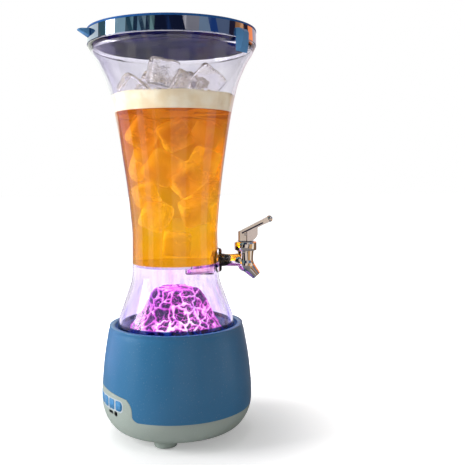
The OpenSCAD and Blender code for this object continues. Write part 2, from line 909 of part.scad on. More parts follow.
module tap_washer_inner() {
    color("whitesmoke", 0.5)
        translate([boss_in_x - inner_washer_t, 0, tap_z])
            rotate([0, 90, 0])
                difference() {
                    cylinder(r = inner_washer_r, h = inner_washer_t);
                    translate([0, 0, -over])
                        cylinder(r = spigot_r + run_gap, h = inner_washer_t + 2 * over);
                }
}

module tap_nut() {
    color("gainsboro")
        translate([boss_in_x - inner_washer_t - nut_t, 0, tap_z])
            rotate([0, 90, 0])
                difference() {
                    cylinder(r = nut_flat_r / cos(30), h = nut_t, $fn = 6);
                    translate([0, 0, -over]) cylinder(r = spigot_r, h = nut_t + 2 * over);
                }
}

// Turns local +Z to the spout's direction at the seat
module at_spout() {
    translate([tap_x, 0, seat_z]) rotate([0, 180 - spout_lean, 0]) children();
}

module tap_body() {
    color("silver")
        difference() {
            union() {
                translate([spigot_l, 0, tap_z])
                    rotate([0, 90, 0]) cylinder(r = spigot_r, h = tap_x - spigot_l);
                translate([shank_x, 0, tap_z])
                    rotate([0, 90, 0]) cylinder(r = shank_r, h = tap_x - shank_x);
                translate([tap_x, 0, 0])
                    rotate_extrude()
                        polygon([[0, seat_z], [barrel_r, seat_z],
                            [barrel_r - barrel_waist / 2, seat_z + barrel_r / 4],
                            [barrel_r - barrel_waist, tap_z],
                            [barrel_r - barrel_waist, tap_z + barrel_r / 4],
                            [barrel_r - barrel_waist / 2, barrel_top - barrel_r / 3],
                            [barrel_r, barrel_top - small_r], [barrel_r, barrel_top],
                            [neck_r, barrel_top], [neck_r, barrel_top + neck_h],
                            [0, barrel_top + neck_h]]);
                translate([tap_x, 0, seat_z]) sphere(r = barrel_r);
                at_spout() cylinder(r1 = spout_root_r, r2 = spout_mouth_r, h = spout_l);
            }
            translate([tap_x, 0, seat_z]) cylinder(r = chamber_r, h = barrel_top);
            translate([spigot_l - over, 0, tap_z])
                rotate([0, 90, 0]) cylinder(r = passage_r, h = tap_x - spigot_l);
            at_spout()
                translate([0, 0, -passage_r])
                    cylinder(r = spout_bore_r - spout_step, h = spout_l + passage_r);
            at_spout()
                translate([0, 0, spout_l - spout_bore_l])
                    cylinder(r = spout_bore_r, h = spout_bore_l + over);
        }
}

module tap_bonnet() {
    color("silver")
        translate([tap_x, 0, bonnet_z])
            rotate_extrude()
                polygon([[neck_r, 0], [bonnet_r - small_r, 0], [bonnet_r, small_r],
                    [bonnet_r, bonnet_h - bonnet_edge],
                    [bonnet_r - bonnet_edge / 4, bonnet_h - bonnet_edge / 4],
                    [bonnet_r - bonnet_edge, bonnet_h], [stem_r + run_gap, bonnet_h],
                    [stem_r + run_gap, bonnet_h - bonnet_plate],
                    [neck_r, bonnet_h - bonnet_plate]]);
}

// Closing spring, between the stem's collar and the bonnet
module tap_spring() {
    z0 = seat_z + seal_t + collar_stem_t;
    color("gray")
        translate([tap_x, 0, 0])
            ring(spring_out_r, spring_in_r, z0, bonnet_top - bonnet_plate - z0);
}

// Stem: collar, rod and the flat eye that the lever's pin passes through
module tap_stem() {
    flat_z = bonnet_top - cam_rise * lever_travel * PI / 180 - small_r;
    color("silver")
        translate([tap_x, 0, 0])
            difference() {
                union() {
                    translate([0, 0, seat_z + seal_t]) {
                        cylinder(r = collar_stem_r, h = collar_stem_t);
                        cylinder(r = stem_r, h = flat_z - seat_z - seal_t);
                    }
                    intersection() {
                        translate([0, 0, flat_z]) cylinder(r = stem_r, h = pin_z - flat_z);
                        translate([-stem_r, -eye_t / 2, flat_z])
                            cube([2 * stem_r, eye_t, pin_z - flat_z]);
                    }
                    translate([0, eye_t / 2, pin_z])
                        rotate([90, 0, 0]) cylinder(r = eye_r, h = eye_t);
                }
                translate([0, eye_t, pin_z])
                    rotate([90, 0, 0]) cylinder(r = pin_r + run_gap, h = 2 * eye_t, $fn = 48);
            }
}

module stem_seal() {
    color("black")
        translate([tap_x, 0, seat_z]) cylinder(r = seal_r, h = seal_t);
}

// Outline of the cheeks: each point of the cam comes down on the bonnet in turn,
// and the pin then stands cam_rise higher for each radian turned
function cam_point(a) =
    let (h = pin_rise - cam_clear + cam_rise * a * PI / 180)
    [h * sin(a) + cam_rise * cos(a), -h * cos(a) + cam_rise * sin(a)];

module cheek_outline() {
    top = [cam_point(lever_travel)[0], handle_under(cam_point(lever_travel)[0]) + small_r];
    polygon(concat(
        [[-lever_back, -pin_rise + cam_clear]],
        [for (k = [0 : CAM_STEPS]) cam_point(k * lever_travel / CAM_STEPS)],
        [top, [-lever_back, handle_under(-lever_back) + handle_t / 2]]));
}

// Height of the handle's underside above the pin, at x beyond it
function handle_under(x) = slot_top / 4 + x * tan(lever_slope) - small_r / 4;

module handle_outline() {
    t = handle_t / cos(lever_slope);
    x1 = lever_reach - grip_r;
    tip = [x1, handle_under(x1) + t / 2];
    polygon([[-lever_back, handle_under(-lever_back) + t / 2],
        [-lever_back, handle_under(-lever_back) + t - small_r],
        [-lever_back + small_r, handle_under(-lever_back) + t],
        [x1 - tip_l, handle_under(x1 - tip_l) + t],
        [x1, tip[1] + grip_r], [x1, tip[1] - grip_r],
        [x1 - tip_l, handle_under(x1 - tip_l)], [0, handle_under(0)]]);
    translate(tip) circle(r = grip_r, $fn = 48);
}

module upright_plate(w) {
    translate([tap_x, w / 2, pin_z]) rotate([90, 0, 0]) linear_extrude(height = w) children();
}

module tap_lever() {
    color("silver")
        difference() {
            union() {
                upright_plate(lever_w) cheek_outline();
                intersection() {
                    upright_plate(lever_w) handle_outline();
                    translate([tap_x, 0, pin_z])
                        rotate([0, -lever_slope, 0])
                            translate([lever_reach / 2, 0, -lever_reach])
                                linear_extrude(height = 2 * lever_reach)
                                    rounded(2 * lever_reach, lever_w, lever_w / 2 - small_r);
                }
            }
            upright_plate(cheek_gap)
                polygon([[-slot_back, -2 * pin_rise], [lever_reach, -2 * pin_rise],
                    [lever_reach, handle_under(slot_back)], [slot_back, handle_under(slot_back)],
                    [slot_back, slot_top], [-slot_back, slot_top]]);
            translate([tap_x, lever_w, pin_z])
                rotate([90, 0, 0]) cylinder(r = pin_r, h = 2 * lever_w, $fn = 48);
        }
}

module lever_pin() {
    color("gray")
        translate([tap_x, 0, pin_z])
            rotate([90, 0, 0])
                translate([0, 0, -lever_w / 2 - pin_head])
                    cylinder(r = pin_r, h = lever_w + 2 * pin_head, $fn = 48);
}

// Blue lid: plate, skirt, plug ring, pointed lug and thumb tab
module lid_cap() {
    color("royalblue")
        union() {
            rotate_extrude($fn = 180)
                polygon([[0, plate_z], [plug_r - plug_t, plate_z],
                    [plug_r - plug_t, collar_top - plug_depth], [plug_r, collar_top - plug_depth],
                    [plug_r, plate_z], [skirt_in_r, plate_z], [skirt_in_r, band_z],
                    [skirt_out_r, band_z], [skirt_out_r, lid_top - lid_top_t],
                    [band_r + cap_r_over, lid_top - lid_top_t],
                    [band_r + cap_r_over, lid_top - cap_edge],
                    [band_r + cap_r_over - cap_edge / 4, lid_top - cap_edge / 4],
                    [band_r + cap_r_over - cap_edge, lid_top], [0, lid_top]]);
            lid_lug(0);
            thumb_tab(0);
        }
}

module lid_lug(extra) {
    z = lid_top - lid_top_t - 2 * lip_t;
    tip = band_r + lug_tip;
    rotate([0, 0, lug_azimuth])
        intersection() {
            translate([0, lid_lug_w / 2 + extra, 0])
                rotate([90, 0, 0])
                    linear_extrude(height = lid_lug_w + 2 * extra)
                        polygon([[skirt_in_r + lip_t, z + extra], [tip - lug_tip / 4, z + extra],
                            [tip, z - lip_t], [tip, z - 2 * lip_t - extra],
                            [band_r, z - lug_root_h - extra],
                            [skirt_in_r + lip_t, z - lug_root_h - extra]]);
            linear_extrude(height = lid_top)
                polygon([[0, -lid_lug_w], [band_r, -lid_lug_w / 2 - extra], [tip, -lid_lug_w / 4],
                    [tip, lid_lug_w / 4], [band_r, lid_lug_w / 2 + extra], [0, lid_lug_w]]);
        }
}

module thumb_tab(extra) {
    z = band_z + lug_root_h;
    out = band_r + tab_reach;
    in = band_r + cap_r_over;
    low = mouth_z - tab_drop;
    rotate([0, 0, tab_azimuth])
        intersection() {
            translate([0, tab_w / 2 + extra, 0])
                rotate([90, 0, 0])
                    linear_extrude(height = tab_w + 2 * extra)
                        polygon([[skirt_in_r + lip_t, band_z - extra],
                            [skirt_in_r + lip_t, z + extra],
                            [band_r + tab_reach / 2, z + extra], [out, z - lug_root_h / 2],
                            [out, band_z], [out - tab_reach / 4, low + tab_drop / 3],
                            [in + tab_reach / 3, low], [in, low + lip_t], [in, band_z - extra]]);
            linear_extrude(height = lid_top)
                polygon([[0, -tab_w], [band_r, -tab_w / 2 - extra], [out, -tab_w / 4],
                    [out, tab_w / 4], [band_r, tab_w / 2 + extra], [0, tab_w]]);
        }
}

module lid_band() {
    color("midnightblue")
        difference() {
            ring(band_r, skirt_out_r, band_z, lid_top - lid_top_t - band_z);
            lid_lug(0);
            thumb_tab(0);
        }
}

module lid_gasket() {
    color("white")
        ring(collar_r - run_gap, collar_r - tank_wall + run_gap, collar_top, plate_z - collar_top);
}

base_housing();
base_pan();
panel_frame();
button_board();
tact_switches();
usb_socket();
audio_jack();
main_board();
battery_tray();
battery_cells();
speaker_basket();
speaker_magnet();
speaker_cone();
speaker_grille();
foot_pads();
base_screws();
lamp_plate();
led_board();
leds();
rock_lamp();
seat_gasket();
button(1);  // button_1
button(2);  // button_2
button(3);  // button_3
button(4);  // button_4
button(5);  // button_5
button(6);  // button_6
button(7);  // button_7
tank();
tank_floor();
tap_washer_outer();
tap_washer_inner();
tap_nut();
tap_body();
tap_bonnet();
tap_spring();
tap_stem();
stem_seal();
tap_lever();
lever_pin();
lid_cap();
lid_band();
lid_gasket();
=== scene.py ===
"""Beer tower: clear tank with its drink, chrome tap, blue lid and lamp base."""
import bmesh
import bpy
import json
import math
import numpy as np
from mathutils import Matrix, Vector


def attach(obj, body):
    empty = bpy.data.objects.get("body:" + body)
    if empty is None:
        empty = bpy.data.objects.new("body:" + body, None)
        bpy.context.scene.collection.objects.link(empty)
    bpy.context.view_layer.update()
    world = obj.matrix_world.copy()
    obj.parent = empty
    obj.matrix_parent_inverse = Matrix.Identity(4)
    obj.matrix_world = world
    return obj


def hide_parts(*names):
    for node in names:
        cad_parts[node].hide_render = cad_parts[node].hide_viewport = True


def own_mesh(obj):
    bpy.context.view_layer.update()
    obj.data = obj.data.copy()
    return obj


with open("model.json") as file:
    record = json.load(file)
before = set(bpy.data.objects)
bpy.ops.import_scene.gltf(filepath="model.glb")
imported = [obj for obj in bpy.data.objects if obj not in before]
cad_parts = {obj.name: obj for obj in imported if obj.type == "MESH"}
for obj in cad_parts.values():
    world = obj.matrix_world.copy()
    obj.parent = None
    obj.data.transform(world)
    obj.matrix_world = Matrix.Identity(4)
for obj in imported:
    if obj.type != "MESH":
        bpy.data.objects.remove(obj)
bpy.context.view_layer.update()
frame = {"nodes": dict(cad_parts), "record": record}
nodes = frame["nodes"]
mm = 0.001
body_of_node = {node: body for body, held in frame["record"]["behaviour"]["bodies"].items()
                for node in held}

# Sizes, in millimetres

SKIRT_R, WAIST_R, MOUTH_R = 69.6, 49.6, 95.8
SKIRT_Z, WAIST_Z, MOUTH_Z = 116.4, 236.9, 449.4
TANK_WALL, COLLAR_R, COLLAR_TOP = 3.0, 92.0, 461.0
TAP_X, TAP_Z, LEVER_PIN_Z = 82.5, 203.6, 233.8
ARM_RISE = 26  # degrees that the lever's arm rises at rest
SUMP_SIZES, SUMP_PLACE = (27, 25, 9.4), (30.5, 0, 196.3)
FLOOR_Z, BEER_TOP, FOAM_TOP = 201.5, 374.8, 394.5
# How deep the drink, the foam's side and the foam's rim reach into the tank's wall
BEER_IN_WALL, FOAM_IN_WALL, FOAM_RIM_IN_WALL = 2.3, 2.2, 1.9
ROCK_FOOT, ROCK_TOP = 118.2, 174


# Camera

def placed(name, data):
    """Object in the scene for a mesh, a light or a camera."""
    made = bpy.data.objects.new(name, data)
    bpy.context.scene.collection.objects.link(made)
    return made


CAMERA_PLACE, CAMERA_TILT, CAMERA_ROLL = (0.0673, -0.805, 0.303), 85.223, -0.485
LENS, SENSOR_WIDTH = 53.26, 36

camera = placed("camera", bpy.data.cameras.new("camera"))
camera.data.lens, camera.data.sensor_width = LENS, SENSOR_WIDTH
camera.matrix_world = (Matrix.Translation(CAMERA_PLACE)
                       @ Matrix.Rotation(math.radians(CAMERA_TILT), 4, "X")
                       @ Matrix.Rotation(math.radians(CAMERA_ROLL), 4, "Z"))
bpy.context.scene.camera = camera
bpy.context.scene.view_settings.view_transform = "Standard"


# Shader tools

BLACK, WHITE = (0, 0, 0, 1), (1, 1, 1, 1)


def srgb(red, green, blue):
    """Colour as seen on a screen, 0 to 255, made linear."""
    def one(v):
        v /= 255
        return v / 12.92 if v <= 0.04045 else ((v + 0.055) / 1.055) ** 2.4
    return (one(red), one(green), one(blue), 1)


def darker(colour, share):
    """The same hue with a share of its light."""
    return tuple(share * c for c in colour[:3]) + (1,)


def give(tree, node, values):
    """Links each named input of a node to an output, or sets its own value."""
    for key, value in values.items():
        if isinstance(value, bpy.types.NodeSocket):
            tree.links.new(value, node.inputs[key])
        else:
            node.inputs[key].default_value = value


def add(tree, kind, inputs=None, **settings):
    """New node with its settings and its inputs."""
    made = tree.nodes.new(kind)
    for key, value in settings.items():
        setattr(made, key, value)
    give(tree, made, inputs or {})
    return made


def mix(tree, factor, a, b, blend="MIX"):
    """Colour between a and b."""
    return add(tree, "ShaderNodeMix", {0: factor, 6: a, 7: b}, data_type="RGBA",
               blend_type=blend).outputs[2]


def maths(tree, operation, a, b=0.0, clamp=False):
    return add(tree, "ShaderNodeMath", {0: a, 1: b}, operation=operation,
               use_clamp=clamp).outputs[0]


def product(tree, a, b):
    return maths(tree, "MULTIPLY", a, b)


def spread(tree, value, low, high, to_low=0.0, to_high=1.0):
    """Smooth step from low to high, which may also run downwards."""
    return add(tree, "ShaderNodeMapRange", {0: value, 1: low, 2: high, 3: to_low, 4: to_high},
               interpolation_type="SMOOTHSTEP").outputs[0]


def between(tree, value, rise, fall):
    """One where a value is past its rise and short of its fall, each given as two ends."""
    return product(tree, spread(tree, value, *rise), spread(tree, value, *fall))


def here(tree):
    """Place on the object, in metres."""
    return add(tree, "ShaderNodeTexCoord").outputs["Object"]


def xyz(tree, vector=None):
    """The three parts of a vector, or else of the place on the object."""
    return add(tree, "ShaderNodeSeparateXYZ", {0: vector or here(tree)}).outputs


def length(tree, vector):
    return add(tree, "ShaderNodeVectorMath", {0: vector}, operation="LENGTH").outputs["Value"]


def upright(tree, share):
    """Place with its height scaled down, which draws a texture out into upright streaks."""
    return add(tree, "ShaderNodeMapping",
               {"Vector": here(tree), "Scale": (1, 1, share)}).outputs[0]


def noise(tree, scale, detail=3.0, rough=0.5, where=None):
    """Cloudy field, by default over the place on the object."""
    return add(tree, "ShaderNodeTexNoise", {"Vector": where or here(tree), "Scale": scale,
                                            "Detail": detail, "Roughness": rough}).outputs[0]


def cells(tree, where, scale, feature="DISTANCE_TO_EDGE"):
    """Distance from the edges of a pattern of cells, or from their middles with F1."""
    return add(tree, "ShaderNodeTexVoronoi", {"Vector": where, "Scale": scale},
               feature=feature).outputs[0]


def bump(tree, strength, depth, height, normal=None):
    """Normal of a surface that a height field raises by a depth in millimetres."""
    inputs = {"Strength": strength, "Distance": depth * mm, "Height": height}
    if normal:
        inputs["Normal"] = normal
    return add(tree, "ShaderNodeBump", inputs).outputs[0]


SOCKETS = {"colour": "NodeSocketColor", "value": "NodeSocketFloat", "vector": "NodeSocketVector",
           "count": "NodeSocketInt", "finish": "NodeSocketMaterial",
           "geometry": "NodeSocketGeometry"}


def node_group(name, kind, inputs, outputs):
    """Empty group with named sockets: its tree, what it is given, and its output node."""
    tree = bpy.data.node_groups.new(name, kind)
    for way, sockets in (("INPUT", inputs), ("OUTPUT", outputs)):
        for socket, what in sockets.items():
            tree.interface.new_socket(name=socket, in_out=way, socket_type=SOCKETS[what])
    return tree, tree.nodes.new("NodeGroupInput").outputs, tree.nodes.new("NodeGroupOutput")


def moulding_group():
    """Moulded surface: slow mottling, fine grain and specks, as colour, roughness and height."""
    tree, given, out = node_group(
        "moulding", "ShaderNodeTree",
        {"Colour": "colour", "Mottle": "value", "Grain": "value", "Specks": "value",
         "Roughness": "value"},
        {"Colour": "colour", "Roughness": "value", "Height": "value"})
    slow = maths(tree, "SUBTRACT", noise(tree, 28.0, 4.0), 0.5)
    grain = noise(tree, 2600.0, 2.0)
    speck = product(tree, spread(tree, noise(tree, 900.0, 0.0), 0.76, 0.8), given["Specks"])
    light = maths(tree, "ADD", product(tree, slow, given["Mottle"]), 1.0)
    grey = add(tree, "ShaderNodeCombineColor", {0: light, 1: light, 2: light}).outputs[0]
    toned = mix(tree, 1.0, given["Colour"], grey, "MULTIPLY")
    give(tree, out, {
        "Colour": mix(tree, speck, toned, (0.85, 0.9, 0.95, 1)),
        "Roughness": maths(tree, "ADD", given["Roughness"], product(tree, slow, 0.16), clamp=True),
        "Height": maths(tree, "ADD", product(tree, grain, given["Grain"]), speck)})
    return tree


def edge_group():
    """Edges where a small bevel would turn the surface take the edge colour in patches: paler
    rubbed wear with a painted highlight on plastic, a painted rim reflection on ice.
    """
    tree, given, out = node_group(
        "worn_and_lit_edges", "ShaderNodeTree",
        {"Colour": "colour", "Edge Colour": "colour", "Amount": "value", "Radius": "value"},
        {"Colour": "colour", "Normal": "vector"})
    bevel = add(tree, "ShaderNodeBevel", {"Radius": given["Radius"]}, samples=4).outputs[0]
    flat = add(tree, "ShaderNodeNewGeometry").outputs["Normal"]
    dot = add(tree, "ShaderNodeVectorMath", {0: bevel, 1: flat},
              operation="DOT_PRODUCT").outputs["Value"]
    patchy = spread(tree, noise(tree, 160.0, 4.0), 0.35, 0.7)
    mask = product(tree, product(tree, spread(tree, dot, 0.995, 0.86), patchy), given["Amount"])
    give(tree, out, {"Colour": mix(tree, mask, given["Colour"], given["Edge Colour"]),
                     "Normal": bevel})
    return tree


def smear_group():
    """Faint smears and water marks on a polished face, as roughness and height."""
    tree, given, out = node_group(
        "smears", "ShaderNodeTree", {"Roughness": "value", "Amount": "value", "Size": "value"},
        {"Roughness": "value", "Height": "value"})
    marks = noise(tree, given["Size"], 5.0, 0.62, upright(tree, 0.35))
    smear = product(tree, spread(tree, marks, 0.46, 0.68), given["Amount"])
    give(tree, out, {"Roughness": maths(tree, "ADD", given["Roughness"], smear),
                     "Height": marks})
    return tree


MOULDING, EDGES, SMEARS = moulding_group(), edge_group(), smear_group()


def group(tree, tree_group, inputs):
    """Outputs of a node group that is given its inputs."""
    return add(tree, "ShaderNodeGroup", inputs, node_tree=tree_group).outputs


def parts(made):
    """A material with its node tree and its shader."""
    return made, made.node_tree, made.node_tree.nodes["Principled BSDF"]


def material(name):
    made = bpy.data.materials.new(name)
    made.use_nodes = True
    return parts(made)


# Kinds of finish

def plastic(name, colour, roughness=0.42, mottle=0.1, grain=0.5, specks=0.0, coat=0.0,
            metal=0.0):
    """Moulded or painted finish: mottled colour, fine grain, and paler edges of rubbed wear mixed
    with a painted highlight.
    """
    made, tree, shader = material(name)
    moulded = group(tree, MOULDING, {"Colour": colour, "Mottle": mottle, "Grain": grain,
                                     "Specks": specks, "Roughness": roughness})
    # Edge colour: paler, for rubbed wear together with a painted highlight.
    pale = tuple(min(1.0, 0.25 + 0.85 * c) for c in colour[:3]) + (1,)
    edges = group(tree, EDGES, {"Colour": moulded["Colour"], "Edge Colour": pale, "Amount": 0.35,
                                "Radius": 0.5 * mm})
    give(tree, shader, {
        "Base Color": edges["Colour"], "Roughness": moulded["Roughness"],
        "Normal": bump(tree, 0.2, 0.1, moulded["Height"], edges["Normal"]),
        "Metallic": metal, "Coat Weight": coat, "Coat Roughness": 0.08})
    return made


def polished(name, colour, roughness=0.05, smear=0.08, edge=0.35):
    """Plated metal: mirror face with faint smears and softened edges."""
    made, tree, shader = material(name)
    smears = group(tree, SMEARS, {"Roughness": roughness, "Amount": smear, "Size": 90.0})
    edges = group(tree, EDGES, {"Colour": colour, "Edge Colour": colour, "Amount": 0.0,
                                "Radius": edge * mm})
    tint = mix(tree, spread(tree, noise(tree, 60.0), 0.3, 0.7), colour, darker(colour, 0.93))
    give(tree, shader, {
        "Base Color": tint, "Roughness": smears["Roughness"], "Metallic": 1.0,
        "Normal": bump(tree, 0.03, 0.1, smears["Height"], edges["Normal"])})
    return made


def clear(name, face, rim, ior=1.47, roughness=0.0):
    """Clear moulding: tinted towards its rims, with faint smears."""
    made, tree, shader = material(name)
    smears = group(tree, SMEARS, {"Roughness": roughness, "Amount": 0.03, "Size": 60.0})
    facing = add(tree, "ShaderNodeLayerWeight", {"Blend": 0.35}).outputs["Facing"]
    waves = spread(tree, noise(tree, 22.0, 2.0), 0.3, 0.7, 0.0, 0.35)
    amount = maths(tree, "ADD", maths(tree, "POWER", facing, 1.6), waves, clamp=True)
    give(tree, shader, {
        "Base Color": mix(tree, amount, face, rim), "Roughness": smears["Roughness"],
        "Normal": bump(tree, 0.02, 0.3, smears["Height"]), "IOR": ior,
        "Transmission Weight": 1.0})
    return made


def tank_material():
    """Clear tank: a painted violet and pink glow of the lamp hangs in its lower walls in upright
    streaks over painted lilac streaks, and its foot has a painted navy band for the shade and
    reflection of the well."""
    made, tree, shader = parts(clear("tank_clear", (0.95, 0.94, 0.97, 1), (0.6, 0.58, 0.72, 1)))
    plain = shader.inputs["Base Color"].links[0].from_socket
    x, _, z = xyz(tree)
    sideways = maths(tree, "ABSOLUTE", x)
    streak = spread(tree, noise(tree, 75.0, 3.0, 0.6, upright(tree, 0.12)), 0.42, 0.68)
    # Masks for a painted lamp glow in the walls: near the middle just under the floor, and at the
    # foot.
    top = product(tree, spread(tree, sideways, 0.034, 0.004),
                  between(tree, z, (0.168, 0.192), (0.2035, 0.2005)))
    foot = product(tree, spread(tree, sideways, 0.045, 0.062),
                   between(tree, z, (0.165, 0.14), (0.131, 0.135)))
    near = maths(tree, "MAXIMUM", top, product(tree, foot, 0.8))
    lamp_colour = mix(tree, top, (0.12, 0.14, 1.0, 1), (1.0, 0.35, 0.9, 1))
    # Painted lilac streaks of lamp light and reflection in the walls under the floor.
    lilac_streak_light = mix(tree, streak, (0.88, 0.83, 0.93, 1), (0.66, 0.56, 0.86, 1))
    under_floor = spread(tree, z, 0.2035, 0.2)
    # Painted navy band at the foot: shade and reflection of the well.
    well_shade_band = between(tree, z, (0.1335, 0.132), (0.1265, 0.128))
    # The emission is a painted glow, since the tank is no lamp.
    give(tree, shader, {
        "Base Color": mix(tree, well_shade_band, mix(tree, under_floor, plain, lilac_streak_light),
                          srgb(24, 60, 120)),
        "Emission Color": mix(tree, product(tree, near, streak), BLACK, lamp_colour),
        "Emission Strength": 0.22})
    return made


def lid_material():
    """Lid: painted dark navy shade on its underside inside the tank's mouth, clear blue outside,
    lighter on the thumb tab.
    """
    made, tree, shader = material("lid_blue")
    x, y, z = xyz(tree)
    reach = length(tree, add(tree, "ShaderNodeCombineXYZ", {0: x, 1: y}).outputs[0])
    inside = spread(tree, reach, 0.0942, 0.0936)
    tab = product(tree, spread(tree, reach, 0.0966, 0.0972), spread(tree, z, 0.4645, 0.4635))
    shade = spread(tree, noise(tree, 16.0, 2.0), 0.38, 0.62)
    # Painted shade: the underside inside the tank's mouth is the same blue plastic, darkened to
    # navy.
    underside_shade_navy = mix(tree, shade, srgb(4, 10, 66), srgb(30, 24, 104))
    cap = mix(tree, shade, srgb(36, 84, 150), srgb(46, 98, 164))
    outside = mix(tree, tab, cap, srgb(96, 150, 200))
    moulded = group(tree, MOULDING, {"Colour": mix(tree, inside, outside, underside_shade_navy), "Mottle": 0.1,
                                     "Grain": 0.3, "Specks": 0.0, "Roughness": 0.2})
    # Paler edges: rubbed wear together with a painted highlight.
    edges = group(tree, EDGES, {"Colour": moulded["Colour"], "Edge Colour": srgb(120, 160, 205),
                                "Amount": 0.25, "Radius": 0.6 * mm})
    give(tree, shader, {
        "Base Color": edges["Colour"], "Normal": edges["Normal"],
        "Roughness": mix(tree, inside, moulded["Roughness"], (0.8, 0.8, 0.8, 1)),
        "Specular IOR Level": 0.03})
    return made


def lever_material():
    """Plated lever: cream top arm over a painted dark line of underside shade, with a painted warm
    reflection on the back edge, a painted pale reflection on the web and painted shade in the
    groove under the arm.
    """
    made, tree, shader = parts(polished("lever_chrome", (0.84, 0.8, 0.75, 1), 0.16, 0.06))
    face = shader.inputs["Base Color"].links[0].from_socket
    from_pin = add(tree, "ShaderNodeMapping", {
        "Vector": here(tree), "Location": (-TAP_X * mm, 0, -LEVER_PIN_Z * mm)}).outputs[0]
    along = add(tree, "ShaderNodeVectorRotate", {0: from_pin, "Angle": math.radians(ARM_RISE)},
                rotation_type="Y_AXIS").outputs[0]
    arm_x, _, arm_z = xyz(tree, along)
    x = xyz(tree, from_pin)[0]
    # Painted light on the chrome: a dark line of underside shade, a pale reflection on the web,
    # shade in the groove under the arm and a warm reflection on the back edge.
    line = product(tree, between(tree, arm_z, (0.0021, 0.0025), (0.0042, 0.0038)),
                   between(tree, arm_x, (-0.0035, -0.003), (0.025, 0.0235)))
    web = product(tree, spread(tree, x, 0.0016, 0.002), spread(tree, arm_z, 0.0026, 0.002))
    groove_shade = product(tree, between(tree, x, (0.0006, 0.001), (0.0021, 0.0017)),
                   spread(tree, arm_z, 0.0022, 0.0018))
    back = spread(tree, x, -0.0066, -0.007)
    toned = face
    for where, colour in ((web, (0.8, 0.77, 0.78, 1)), (back, (0.5, 0.27, 0.12, 1)),
                          (groove_shade, (0.25, 0.2, 0.18, 1)), (line, (0.02, 0.025, 0.06, 1))):
        toned = mix(tree, where, toned, colour)
    give(tree, shader, {"Base Color": toned})
    return made


def lamp_glow(name, colour, strength):
    """Glowing part, for the LEDs, which are lamps, and for the drink in the sump, whose pink glow
    is painted lamp light.
    """
    made, tree, shader = material(name)
    patch = mix(tree, noise(tree, 300.0), colour, (1, 0.8, 1, 1))
    give(tree, shader, {"Base Color": patch, "Emission Color": patch,
                        "Emission Strength": strength})
    return made


def beer_material():
    """Amber drink: deeper orange towards the top and in slow drifts."""
    made, tree, shader = material("beer_amber")
    drift = maths(tree, "ADD", spread(tree, noise(tree, 26.0, 3.0), 0.32, 0.68, -0.25, 0.25),
                  spread(tree, xyz(tree)[2], 0.23, 0.36, 0.12, 0.85), clamp=True)
    give(tree, shader, {
        "Base Color": mix(tree, drift, (0.88, 0.45, 0.002, 1), (0.76, 0.2, 0.001, 1)),
        "Roughness": 0.03, "IOR": 1.2, "Transmission Weight": 0.86})
    return made


def ice_material(name, core, frost_colour, rim, ior, clearness, frost_low):
    """Ice: clear body with rims tinted by a painted reflection of the drink and foam, specks, and
    crackled frost in patches.
    """
    made, tree, shader = material(name)
    cloud = noise(tree, 55.0, 5.0, 0.6)
    lines = spread(tree, cells(tree, here(tree), 420.0), 0.12, 0.02)
    patch = spread(tree, noise(tree, 38.0, 2.0), frost_low, frost_low + 0.12)
    frost = maths(tree, "MULTIPLY", patch, maths(tree, "ADD", product(tree, lines, 0.6), 0.35),
                  clamp=True)
    # Painted reflection: the rim colour stands for the drink and foam seen in the clear ice's
    # edges.
    rims = group(tree, EDGES, {"Colour": mix(tree, frost, core, frost_colour), "Edge Colour": rim,
                               "Amount": 1.0, "Radius": 5 * mm})
    speck = spread(tree, noise(tree, 420.0, 1.0), 0.74, 0.78)
    height = maths(tree, "ADD", cloud, product(tree, frost, 0.8))
    give(tree, shader, {
        "Base Color": mix(tree, speck, rims["Colour"], darker(rim, 0.3)),
        "Roughness": maths(tree, "ADD", product(tree, frost, 0.5), 0.04),
        "Normal": bump(tree, 0.5, 0.8, height), "IOR": ior,
        "Transmission Weight": spread(tree, frost, 0.0, 1.0, clearness, 0.3 * clearness)})
    return made


def foam_material():
    """Froth: fine cells and slow tones. Its underside has a little painted glow that stands for
    light coming through the drink.
    """
    made, tree, shader = material("beer_foam")
    froth = cells(tree, here(tree), 900.0, "F1")
    big = noise(tree, 60.0, 4.0)
    up = xyz(tree, add(tree, "ShaderNodeNewGeometry").outputs["Normal"])[2]
    # Painted glow on the underside, since the foam is no lamp.
    give(tree, shader, {
        "Base Color": mix(tree, spread(tree, big, 0.3, 0.7), srgb(236, 229, 206),
                          srgb(222, 206, 172)),
        "Roughness": 0.6, "Normal": bump(tree, 0.35, 0.4, maths(tree, "ADD", froth, big)),
        "Emission Color": (1.0, 0.72, 0.32, 1),
        "Emission Strength": spread(tree, up, -0.4, -0.8, 0.0, 0.5)})
    return made


